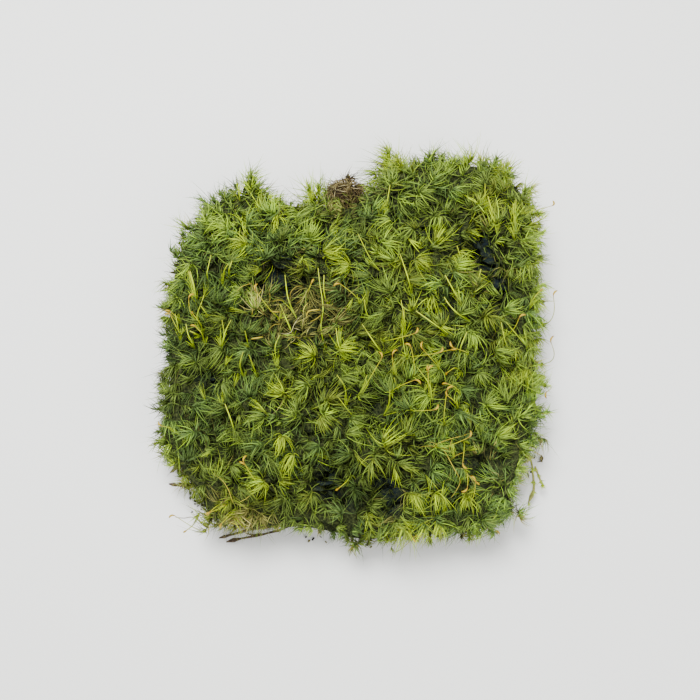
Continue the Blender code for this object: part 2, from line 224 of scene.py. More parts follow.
cameraData = bpy.data.cameras.new("Camera")
camera = bpy.data.objects.new("Camera", cameraData)
bpy.context.scene.collection.objects.link(camera)
cameraTilt = math.radians(cameraSettings["elevation"])
cameraForward = Vector((0.0, math.cos(cameraTilt), -math.sin(cameraTilt)))
cameraUp = Vector((0.0, math.sin(cameraTilt), math.cos(cameraTilt)))
cameraEye = Vector(cameraSettings["target"]) - cameraForward * cameraSettings["distance"]


def placeCamera(settings):
    camera.location = cameraEye * mm
    camera.rotation_euler = cameraForward.to_track_quat("-Z", "Y").to_euler()
    cameraData.sensor_width = settings["sensor"]
    cameraData.lens = settings["sensor"] * settings["focalPixels"] / settings["frameWidth"]
    cameraData.clip_start = settings["clipStart"] * mm
    bpy.context.scene.camera = camera


# Where a spot of the picture, counted from its top left corner, lies at a given height
def pictured(across, down, height):
    middle = 0.5 * cameraSettings["frameWidth"]
    ray = cameraForward * cameraSettings["focalPixels"]
    ray = ray + Vector((1.0, 0.0, 0.0)) * (across - middle) + cameraUp * (middle - down)
    return cameraEye + ray * ((height - cameraEye.z) / ray.z)


def addObject(name, mesh):
    piece = bpy.data.objects.new(name, mesh)
    bpy.context.scene.collection.objects.link(piece)
    return piece


def makeFloor(settings):
    half = 0.5 * settings["size"] * mm
    mesh = bpy.data.meshes.new("floor")
    mesh.from_pydata([(-half, -half, 0), (half, -half, 0), (half, half, 0), (-half, half, 0)],
                     [], [(0, 1, 2, 3)])
    floor = addObject("floor", mesh)
    material, sheet = newMaterial("paleFloor", settings["colour"])
    finishMaterial(sheet, (*settings["colour"], 1.0), settings["roughness"])
    mesh.materials.append(material)


def makeLights(settings):
    world = bpy.data.worlds.new("softStudio")
    bpy.context.scene.world = world
    world.use_nodes = True
    background = world.node_tree.nodes["Background"]
    background.inputs["Color"].default_value = (1.0, 1.0, 1.0, 1.0)
    background.inputs["Strength"].default_value = settings["world"]
    for name in ("key", "fill"):
        lamp = bpy.data.lights.new(name + "Light", "AREA")
        lamp.size = settings[name + "Size"] * mm
        lamp.energy = settings[name + "Power"]
        light = addObject(name + "Light", lamp)
        light.location = Vector(settings[name + "Place"]) * mm
        light.rotation_euler = (-light.location).to_track_quat("-Z", "Y").to_euler()


print("stage: camera, floor and lights")
placeCamera(cameraSettings)
makeFloor(floorSettings)
makeLights(lightSettings)


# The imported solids, read once: a merged copy in millimetres, so that its corners are shared
def mergedCopy(node):
    shape = bmesh.new()
    shape.from_mesh(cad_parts[node].data)
    bmesh.ops.scale(shape, vec=(1.0 / mm,) * 3, verts=shape.verts[:])
    bmesh.ops.remove_doubles(shape, verts=shape.verts[:], dist=0.002)
    shape.normal_update()
    shape.verts.ensure_lookup_table()
    return shape


def objectFrom(shape, name):
    bmesh.ops.scale(shape, vec=(mm, mm, mm), verts=shape.verts[:])
    mesh = bpy.data.meshes.new(name)
    shape.to_mesh(mesh)
    shape.free()
    mesh.shade_smooth()
    return addObject(name, mesh)


def wobble(place, length, seed):
    return noise.noise(Vector(place) / length + Vector((seed, 1.7 * seed, 0.3 * seed)))


def gaussVector(rng):
    return Vector((rng.gauss(0, 1), rng.gauss(0, 1), rng.gauss(0, 1)))


def limit(value, low=0.0, high=1.0):
    return min(max(value, low), high)


# How far a place is from the middle of an oval: 1 on its edge
def ovalShare(place, middle, halves):
    return math.hypot((place.x - middle[0]) / halves[0], (place.y - middle[1]) / halves[1])


# 1 well inside an oval, and fading to 0 past its edge
def ovalShade(place, middle, halves, full=2.0, fade=1.6):
    return limit(full - fade * ovalShare(place, middle, halves))


def placeOnFace(face, rng):
    corners = [vert.co for vert in face.verts]
    first, second = sorted((rng.random(), rng.random()))
    return corners[0] * first + corners[1] * (second - first) + corners[2] * (1.0 - second)


# A pair of limits is drawn between, one number is taken as it is
def drawn(rng, value):
    return rng.uniform(*value) if isinstance(value, tuple) else value


# A small leafy shoot, as the leaf tree reads it
def smallShoot(place, axis, sweep, worn, looks, rng):
    return {"place": place, "axis": axis, "sweep": sweep, "size": drawn(rng, looks["size"]),
            "tone": drawn(rng, looks["tone"]), "worn": worn,
            "family": drawn(rng, looks["family"]), "secund": rng.random(), "curl": 1.0,
            "leaves": looks["leaves"]}


def finishPiece(piece, slot, *nodes):
    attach(piece, "root")
    if nodes:
        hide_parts(*nodes)
    piece.data.calc_loop_triangles()
    print("piece", piece.name, len(piece.data.loop_triangles), "triangles")


# Where the shoots stand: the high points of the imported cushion, and smaller ones between
shootSettings = {
    "seed": 5,
    "outwardReach": 13.0,     # over which the cushion's slope is averaged
    "leastRise": 0.25,        # of a shoot tip above every corner next to it
    "underside": 15.5,        # no shoot stands lower than this
    "spacing": 3.75,
    "sideSpacing": 3.3,
    "steep": 0.6,             # upward share of the outward way, below which a spot is a side
    "tries": 7000,
    "lean": 0.3,
    "upward": 0.9,            # how far shoots on the sides turn to the light
    "downhill": 1.1,          # how far leaves sweep down the slope
    "drift": 1.5,             # and along with their neighbours
    "driftLength": 21.0,
    "driftStart": (3.1, 0.7, 9.2),
    "stray": 0.45,
    "droop": (0.0, -0.06, -0.3),
    "tone": 0.47,
    "toneWave": (0.2, 15.0, 4.4),     # height, length and start of the slow change
    "toneScatter": 0.15,
    "family": 1.25,
    "familyWave": (1.3, 24.0, 8.8),
    "familyScatter": 0.6,
    "mainSize": (0.9, 1.2),
    # painted light lifts the tall shoots, painted shade darkens the low ones between them
    "mainLighter": 0.06,
    "betweenSize": (0.68, 0.98),
    "betweenLighter": -0.05,
    "curl": (0.7, 1.3),
    "secund": (0.1, 1.0),
    "mainLeaves": 47,
    "betweenLeaves": 22,
    "sideLeaves": 40,
    "sideSize": 0.85,
    # painted light on the shoots of the sides
    "sideLighter": 0.07,
    "rightLighter": 0.0009,   # painted light: tone for each millimetre
    "rightYellower": 0.006,   # palette family for each millimetre, the other way at the front
    "frontReach": 25.0,
    "rightRimPaintedLight": (44.0, 0.08), # from this far right, painted light makes the sides lighter by this much
    "wornOut": 0.55,          # share of dead leaves from which a shoot is thin and curled
    "wornLeaves": 0.75,
    "wornCurl": 1.4,
    "wornTone": 0.6,          # at most
    "wornBelow": (24.0, 9.0, 0.5),    # height, over which it grows, and most there
}
# worn places: middle, half widths, share of leaves that are dead
wornPlaces = [
    ((-21.0, 13.0), (20.0, 15.0), 0.9), ((52.0, 30.0), (9.0, 10.0), 0.35),
    ((50.0, -46.0), (8.0, 7.0), 0.5), ((-40.0, -69.0), (13.0, 5.0), 0.6),
    ((-53.0, -62.0), (5.0, 4.5), 0.7), ((-5.0, 60.0), (9.0, 8.0), 0.8),
]


def wornAt(place):
    height, over, most = shootSettings["wornBelow"]
    worn = limit((height - place.z) / over, 0.0, most)
    for middle, halves, share in wornPlaces:
        worn = max(worn, share * ovalShade(place, middle, halves, full=1.6, fade=1.3))
    return worn


# where the rim keeps short leaves: middle, half widths, share of the usual size
shortPlaces = [
    ((-6.0, -77.0), (44.0, 9.0), 0.66), ((-26.0, 66.0), (9.0, 9.0), 0.65),
    ((72.0, 58.0), (8.0, 9.0), 0.75), ((75.0, 41.0), (7.0, 6.0), 0.85),
    ((76.0, -9.0), (8.0, 9.0), 0.75), ((77.0, -27.0), (7.0, 7.0), 0.75),
    ((69.0, -51.0), (8.0, 9.0), 0.8), ((52.0, -75.0), (12.0, 8.0), 0.8),
    ((-70.0, -52.0), (6.0, 6.0), 0.75), ((-76.0, 14.0), (7.0, 34.0), 0.85),
]


def shortAt(place, outward):
    size = 1.0
    for middle, halves, share in shortPlaces:
        if ovalShare(place, middle, halves) < 1.0 and outward.z < shootSettings["steep"]:
            size = min(size, share)
    return size


# where painted shade makes the cushion a little darker all over, or painted light lighter: middle,
# half widths, tone lost
paintedShadePlaces = [((-64.0, 0.0), (22.0, 30.0), 0.05), ((2.0, -62.0), (34.0, 16.0), 0.09),
               ((-40.0, 48.0), (26.0, 18.0), -0.10)]


def paintedShadeAt(place):
    return sum(lost * ovalShade(place, middle, halves) for middle, halves, lost in paintedShadePlaces)


def smoothOutward(cushion):
    tree = KDTree(len(cushion.verts))
    for vert in cushion.verts:
        tree.insert(vert.co, vert.index)
    tree.balance()
    areas = [sum(face.calc_area() for face in vert.link_faces) for vert in cushion.verts]

    def outwardAt(place):
        total = Vector()
        for _, index, away in tree.find_range(place, shootSettings["outwardReach"]):
            vert = cushion.verts[index]
            if vert.co.z > shootSettings["underside"]:
                weight = 1.0 - away / shootSettings["outwardReach"]
                total += vert.normal * areas[index] * weight
        return total.normalized()

    return outwardAt


def findShoots(cushion, outwardAt, settings):
    rng = random.Random(settings["seed"])
    found = []
    for vert in cushion.verts:
        if vert.co.z < settings["underside"]:
            continue
        outward = outwardAt(vert.co)
        rises = [(vert.co - edge.other_vert(vert).co).dot(outward) for edge in vert.link_edges]
        if min(rises) > settings["leastRise"]:
            found.append({"place": vert.co.copy(), "outward": outward, "main": True})
    faces = [face for face in cushion.faces
             if face.calc_center_median().z > settings["underside"] + 1.0]
    areas = [face.calc_area() for face in faces]
    for pick in rng.choices(range(len(faces)), weights=areas, k=settings["tries"]):
        place = placeOnFace(faces[pick], rng)
        outward = outwardAt(place)
        apart = settings["sideSpacing"] if outward.z < settings["steep"] else settings["spacing"]
        if any((place - shoot["place"]).length < apart for shoot in found):
            continue
        found.append({"place": place, "outward": outward, "main": False})
    for shoot in found:
        growShoot(shoot, rng, settings)
    return found


# The sides are seen against the light, so their small shoots are fuller
def betweenLeaves(outward):
    steep = outward.z < shootSettings["steep"]
    return shootSettings["sideLeaves"] if steep else shootSettings["betweenLeaves"]


def slowChange(place, wave):
    height, length, start = wave
    return height * wobble(place, length, start)


# Leaves sweep to one side: down the slope, and with their neighbours
def growShoot(shoot, rng, settings):
    place, outward = shoot["place"], shoot["outward"]
    upward = Vector((0.0, 0.0, settings["upward"] * (1.0 - max(outward.z, 0.0))))
    axis = (outward + upward + gaussVector(rng) * settings["lean"]).normalized()
    slope = Vector((outward.x, outward.y, 0.0)) * settings["downhill"]
    drift = noise.noise_vector(place / settings["driftLength"] + Vector(settings["driftStart"]))
    sweep = slope + drift * settings["drift"] + gaussVector(rng) * settings["stray"]
    sweep += Vector(settings["droop"])
    sweep -= axis * sweep.dot(axis)
    worn = wornAt(place)
    scatter = settings["toneScatter"]
    tone = settings["tone"] + slowChange(place, settings["toneWave"])
    tone += rng.uniform(-scatter, scatter)
    # painted shade or painted light of broad places
    tone -= paintedShadeAt(place)
    # painted light towards the right
    tone += settings["rightLighter"] * place.x
    kind = "main" if shoot["main"] else "between"
    size = rng.uniform(*settings[kind + "Size"])
    # painted light on tall shoots, painted shade on the low ones
    tone += settings[kind + "Lighter"]
    scatter = settings["familyScatter"]
    family = settings["family"] + slowChange(place, settings["familyWave"])
    family += rng.uniform(-scatter, scatter)
    yellower = settings["rightYellower"] * place.x
    family += yellower * min(1.0 + place.y / settings["frontReach"], 1.0)
    size *= shortAt(place, outward)
    # painted light on the sides, more at the far right
    if outward.z < settings["steep"]:
        size *= settings["sideSize"]
        farRight, rimPaintedLight = settings["rightRimPaintedLight"]
        tone += settings["sideLighter"] + (rimPaintedLight if place.x > farRight else 0.0)
    leaves = settings["mainLeaves"] if shoot["main"] else betweenLeaves(outward)
    curl = rng.uniform(*settings["curl"])
    if worn > settings["wornOut"]:
        leaves *= settings["wornLeaves"]
        curl *= settings["wornCurl"]
        tone = min(tone, settings["wornTone"])
    shoot.update(axis=axis, sweep=sweep.normalized(), size=size, tone=tone, worn=worn,
                 family=family, secund=rng.uniform(*settings["secund"]), curl=curl,
                 leaves=leaves)


# Shoots that stand out: spot in the picture, way the leaves hang (degrees, 0 to the right and
# 90 away from the viewer), how far they all hang to that side, and their look
markedShoots = [
    (251, 188, 90, 0.2, "green"), (239, 194, 200, 0.9, "bright"), (267, 197, 320, 0.9, "yellow"),
    (206, 212, 100, 0.2, "green"), (224, 216, 220, 0.7, "pale"), (244, 215, 270, 0.5, "bright"),
    (278, 216, 270, 0.4, "yellow"), (296, 211, 270, 0.9, "pale"), (312, 197, 180, 0.5, "bright"),
    (328, 199, 0, 0.2, "green"), (329, 230, 0, 0.9, "bright"), (238, 238, 180, 0.7, "bright"),
    (266, 250, 200, 0.3, "yellow"), (297, 237, 0, 0.3, "green"), (303, 259, 310, 0.6, "bright"),
    (260, 268, 190, 0.9, "bright"), (319, 248, 0, 0.6, "bright"), (347, 264, 220, 0.3, "bright"),
    (190, 261, 230, 0.9, "pale"), (181, 281, 220, 0.9, "pale"), (205, 240, 200, 0.5, "deep"),
    (215, 296, 20, 0.8, "deep"), (232, 310, 270, 0.4, "deep"), (200, 355, 200, 0.3, "green"),
    (380, 166, 100, 0.6, "pale"), (394, 162, 90, 0.1, "deep"), (425, 163, 90, 0.1, "green"),
    (408, 170, 120, 0.5, "green"), (440, 170, 80, 0.5, "green"), (458, 170, 90, 0.5, "pale"),
    (484, 165, 70, 0.4, "green"), (497, 167, 60, 0.4, "green"), (511, 176, 60, 0.4, "green"),
    (518, 190, 45, 0.4, "green"), (443, 216, 270, 0.4, "small"), (414, 220, 270, 0.3, "green"),
    (472, 228, 330, 0.8, "bright"), (379, 244, 0, 0.1, "pale"), (416, 261, 330, 0.5, "bright"),
    (433, 297, 250, 0.7, "yellow"), (479, 271, 300, 0.6, "yellow"), (461, 251, 300, 0.5, "yellow"),
    (477, 331, 270, 0.7, "pale"), (400, 203, 300, 0.4, "green"), (520, 262, 240, 0.6, "olive"),
    (530, 240, 10, 0.6, "pale"), (294, 452, 250, 1.0, "bright"), (322, 411, 70, 0.2, "pale"),
    (277, 396, 150, 0.4, "bright"), (262, 417, 190, 0.7, "green"), (281, 434, 260, 0.5, "yellow"),
    (314, 455, 0, 0.6, "bright"), (186, 434, 180, 0.2, "pale"), (168, 446, 250, 0.8, "pale"),
    (216, 481, 60, 0.3, "olive"), (265, 484, 200, 0.4, "bright"), (280, 482, 0, 0.8, "yellow"),
    (313, 496, 270, 0.7, "olive"), (314, 353, 160, 0.5, "bright"), (339, 345, 0, 0.3, "bright"),
    (383, 440, 50, 0.6, "bright"), (365, 467, 270, 0.5, "olive"), (416, 496, 300, 0.8, "bright"),
    (440, 499, 270, 0.4, "bright"), (470, 501, 280, 0.5, "bright"), (484, 365, 50, 0.4, "pale"),
    (530, 371, 0, 0.6, "pale"), (455, 420, 200, 0.3, "green"), (369, 520, 300, 0.3, "bright"),
    (499, 439, 30, 0.5, "pale"), (345, 355, 90, 0.2, "bright"), (352, 420, 330, 0.5, "green"),
    (375, 168, 150, 0.7, "pale"), (310, 205, 100, 0.5, "green"), (262, 205, 80, 0.6, "bright"),
    (249, 184, 85, 0.3, "reach"), (247, 190, 90, 0.3, "tall"), (304, 198, 110, 0.4, "tall"),
    (366, 188, 200, 0.5, "pale"), (314, 193, 110, 0.4, "far"), (323, 190, 95, 0.4, "far"),
    (332, 186, 90, 0.4, "reach"), (374, 172, 160, 0.5, "far"), (376, 161, 140, 0.4, "far"),
    (381, 158, 125, 0.3, "far"), (387, 157, 110, 0.3, "pale"),
    (394, 158, 80, 0.3, "bright"), (472, 164, 90, 0.5, "tall"), (511, 173, 60, 0.4, "tall"),
    (412, 522, 270, 0.7, "tall"), (426, 523, 270, 0.6, "tall"), (440, 522, 280, 0.7, "tall"),
    (533, 224, 0, 0.6, "yellow"), (543, 268, 0, 0.5, "olive"),
    (236, 520, 210, 0.6, "straw"), (250, 521, 250, 0.5, "straw"), (262, 518, 300, 0.6, "straw"),
    (245, 514, 200, 0.5, "straw"),
]
# looks: change of tone, palette family, how much larger, how much fuller, and how far the
# shoot stands out sideways
shootLooks = {
    "deep": (-0.12, 0.2, 1.0, 1.0, 0.0), "green": (0.02, 1.2, 1.0, 1.0, 0.0),
    "olive": (-0.02, 1.9, 1.0, 1.0, 0.0), "bright": (0.14, 2.2, 1.0, 1.15, 0.0),
    "yellow": (0.13, 2.6, 1.0, 1.0, 0.0), "pale": (0.13, 1.4, 1.0, 1.0, 0.0),
    "straw": (-0.04, 2.6, 0.8, 1.0, 0.0), "small": (0.06, 1.8, 0.75, 1.0, 0.0),
    "tall": (0.12, 2.1, 1.1, 1.2, 2.5), "reach": (0.10, 1.6, 1.0, 1.5, 3.5),
    "far": (0.12, 2.0, 1.0, 1.5, 4.5),
}
markSettings = {
    "seed": 6,
    "reach": 5.0,             # to the large shoot that a mark takes over
    "lowest": 26.0,
    "droop": -0.3,
    "leastSecund": 0.05,
    "tone": 0.57,
    "dusk": 0.5,              # share of a place's painted shade that counts
    "size": (1.05, 1.25),
    "strawWorn": 0.9,
}
# deep gaps between the shoots, where little but shade shows: spot, half widths in pixels
darkGaps = [(278, 278, 25, 18), (477, 243, 17, 19), (488, 262, 16, 17), (503, 281, 13, 12),
            (509, 214, 5, 9), (428, 226, 7, 6), (353, 281, 7, 8), (453, 301, 6, 8),
            (532, 237, 4, 5), (520, 326, 5, 9), (239, 267, 5, 11), (319, 236, 6, 12),
            (326, 219, 6, 8), (222, 247, 8, 9), (253, 318, 4, 7), (184, 366, 7, 9),
            (203, 382, 5, 10), (252, 385, 5, 6), (310, 429, 4, 8), (221, 452, 5, 6),
            (294, 477, 10, 6), (326, 482, 15, 20), (237, 481, 3, 7), (370, 402, 14, 14),
            (385, 493, 17, 25), (482, 471, 13, 15), (507, 392, 6, 7), (500, 373, 6, 8),
            (479, 388, 6, 8), (420, 455, 7, 4), (357, 378, 3, 6), (352, 504, 6, 11),
            (509, 455, 5, 5), (404, 366, 4, 6), (441, 358, 4, 5), (300, 345, 5, 5)]


surfaceSettings = {"above": 100.0, "beside": 15.0, "firstGuess": 35.0, "rounds": 4}


def surfaceHeight(x, y):
    start = Vector((x, y, surfaceSettings["above"]))
    hit = cushionSurface.ray_cast(start, Vector((0.0, 0.0, -1.0)))
    return hit[0].z if hit[0] else surfaceSettings["beside"]


# Height of the highest shoot close by
def crownHeight(x, y, reach=2.5):
    steps = ((0.0, 0.0), (reach, 0.0), (-reach, 0.0), (0.0, reach), (0.0, -reach))
    return max(surfaceHeight(x + right, y + back) for right, back in steps)


def surfacePictured(across, down):
    place = pictured(across, down, surfaceSettings["firstGuess"])
    for _ in range(surfaceSettings["rounds"]):
        place = pictured(across, down, surfaceHeight(place.x, place.y))
    return place


# A mark takes over the nearest large shoot, or grows a new one where none is near
def markShoots(shoots, outwardAt, settings):
    rng = random.Random(settings["seed"])
    taken = []
    for across, down, way, oneSided, look in markedShoots:
        place = surfacePictured(across, down)
        place.z = max(place.z, settings["lowest"])
        place = cushionSurface.find_nearest(place)[0]
        free = [shoot for shoot in shoots if shoot["main"] and not any(shoot is t for t in taken)]
        shoot = min(free, key=lambda shoot: (shoot["place"] - place).length)
        if (shoot["place"] - place).length > settings["reach"]:
            shoot = {"place": place, "outward": outwardAt(place), "main": True}
            growShoot(shoot, rng, shootSettings)
            shoots.append(shoot)
        taken.append(shoot)
        toneChange, family, larger, fuller, further = shootLooks[look]
        turn = math.radians(way)
        sweep = Vector((math.cos(turn), math.sin(turn), settings["droop"]))
        shoot["place"] = shoot["place"] + Vector((sweep.x, sweep.y, 0.0)) * further
        sweep -= shoot["axis"] * sweep.dot(shoot["axis"])
        shoot.update(sweep=sweep.normalized(), family=family,
                     secund=max(oneSided, settings["leastSecund"]),
                     tone=settings["tone"] + toneChange - settings["dusk"] * paintedShadeAt(place),
                     size=rng.uniform(*settings["size"]) * larger,
                     leaves=shootSettings["mainLeaves"] * fuller,
                     worn=settings["strawWorn"] if look == "straw" else 0.0)


# no shoots where the mat shows at the rim: middle, half widths
barePlaces = [((-66.0, -60.5), (4.0, 5.5)), ((-61.5, -65.5), (4.5, 5.0)),
              ((-46.0, -74.0), (12.0, 3.0)), ((-26.0, -74.0), (14.0, 3.5)),
              ((-12.0, -75.5), (9.0, 3.0)), ((12.5, -80.5), (8.0, 3.5)),
              ((-26.0, 63.5), (10.0, 3.0))]
gapSettings = {
    "pixel": 0.38,            # millimetres a pixel on the cushion
    "mainLimit": 0.75,        # shade from which no large shoot stands
    # in a gap the shoots sink, and painted shade darkens them
    "mainSink": 4.0, "mainDarken": 0.18,
    "lowSink": 6.2, "lowDarken": 0.42,
    "shrink": 0.3, "thin": 0.45,
}


def isBare(place):
    return any(ovalShare(place, middle, halves) < 1.0 for middle, halves in barePlaces)


# How deep in a gap a place lies, from 0 to 1
def gapAt(place):
    return max(ovalShade(place, middle, halves) for middle, halves in gapOvals)


def openGaps(shoots, settings):
    kept = []
    for shoot in shoots:
        if isBare(shoot["place"]):
            continue
        shade = gapAt(shoot["place"])
        if shoot["main"] and shade > settings["mainLimit"]:
            continue
        kind = "main" if shoot["main"] else "low"
        shoot["place"] = shoot["place"] - shoot["outward"] * (settings[kind + "Sink"] * shade)
        # painted shade in the gap
        shoot["tone"] -= settings[kind + "Darken"] * shade
        shoot["size"] *= 1.0 - settings["shrink"] * shade
        shoot["leaves"] *= 1.0 - settings["thin"] * shade
        kept.append(shoot)
    return kept


print("stage: reading the cushion")
cushion = mergedCopy("moss_cushion")
cushionSurface = BVHTree.FromBMesh(cushion)
gapOvals = [(surfacePictured(across, down),
             (wide * gapSettings["pixel"], deep * gapSettings["pixel"]))
            for across, down, wide, deep in darkGaps]
outwardAt = smoothOutward(cushion)
# the drift of the leaves reads a noise that starts from the clock unless it is seeded
noise.seed_set(shootSettings["seed"])
shoots = findShoots(cushion, outwardAt, shootSettings)
markShoots(shoots, outwardAt, markSettings)
shoots = openGaps(shoots, gapSettings)
large = sum(shoot["main"] for shoot in shoots)
print("shoots", large, "large and", len(shoots) - large, "small")


def addInput(tree, name, kind, value=None):
    socket = tree.interface.new_socket(name=name, in_out="INPUT", socket_type=kind)
    if value is not None:
        socket.default_value = value
    return socket.identifier


def newGeometryTree(name, inputs):
    tree = bpy.data.node_groups.new(name, "GeometryNodeTree")
    tree.interface.new_socket(name="Geometry", in_out="OUTPUT", socket_type="NodeSocketGeometry")
    keys = {"Geometry": addInput(tree, "Geometry", "NodeSocketGeometry")}
    for label, (kind, value) in inputs.items():
        keys[label] = addInput(tree, label, kind, value)
    sheet = NodeSheet(tree)
    entry = tree.nodes.new("NodeGroupInput")
    wires = {label: Wire(sheet, entry.outputs[label]) for label in keys}
    return tree, sheet, wires, keys


def readAttribute(sheet, name, kind="FLOAT"):
    return sheet.add("GeometryNodeInputNamedAttribute", {"data_type": kind}, {"Name": name})


def storeAttribute(sheet, geometry, name, kind, value, domain="POINT"):
    return sheet.add("GeometryNodeStoreNamedAttribute", {"data_type": kind, "domain": domain},
                     {"Geometry": geometry, "Name": name, "Value": value})


def randomValue(sheet, low, high, seed, key):
    return sheet.add("FunctionNodeRandomValue", {"data_type": "FLOAT"},
                     {2: low, 3: high, "ID": key, "Seed": seed}, 1)


def randomVector(sheet, seed, key):
    return sheet.add("FunctionNodeRandomValue", {"data_type": "FLOAT_VECTOR"},
                     {0: (-1.0, -1.0, -1.0), 1: (1.0, 1.0, 1.0), "ID": key, "Seed": seed}, 0)


def endTree(tree, sheet, geometry, wires):
    geometry = sheet.add("GeometryNodeRealizeInstances", {}, {"Geometry": geometry})
    geometry = sheet.add("GeometryNodeSetMaterial", {},
                         {"Geometry": geometry, "Material": wires["material"]})
    leave = tree.nodes.new("NodeGroupOutput")
    tree.links.new(geometry.socket, leave.inputs["Geometry"])


# What the leaf tree takes; its sockets have the same names
leafSettings = {
    "seed": 3,
    "bladeRings": 4,
    "leafLength": 7.1,
    "leafWidth": 0.32,        # half width at the base
    "leafyLength": 9.0,       # of stem that carries leaves
    "topAngle": 18.0,         # degrees from the stem, youngest leaf
    "lowAngle": 88.0,         # oldest leaf
    "angleScatter": 16.0,
    "bendLeast": 0.6,
    "bendMost": 1.6,
    "sideways": 0.7,
    "fade": 0.7,              # of tone, from leaves in their prime to the oldest: partly real ageing, partly painted shade low on the stem
    "deadFamily": 3.0,
    "oldDead": 0.3,           # share of the oldest leaves that are dead
}
leafLengths = ("leafLength", "leafWidth", "leafyLength")
# What is the same in every leaf
leafShape = {
    "golden": 2.399963,       # radians from one leaf to the next
    "turn": 6.283,
    "degree": 0.0174533,
    "prime": 0.3,             # age at which leaves are brightest, from 0 for young to 1 for old
    "headingScatter": 0.12,
    "bendScatter": 0.9,
    "lengthScatter": (0.65, 1.25),
    "keel": 0.55,             # height of a blade against its half width
    "floor": 0.25,            # no leaf passes below this
}


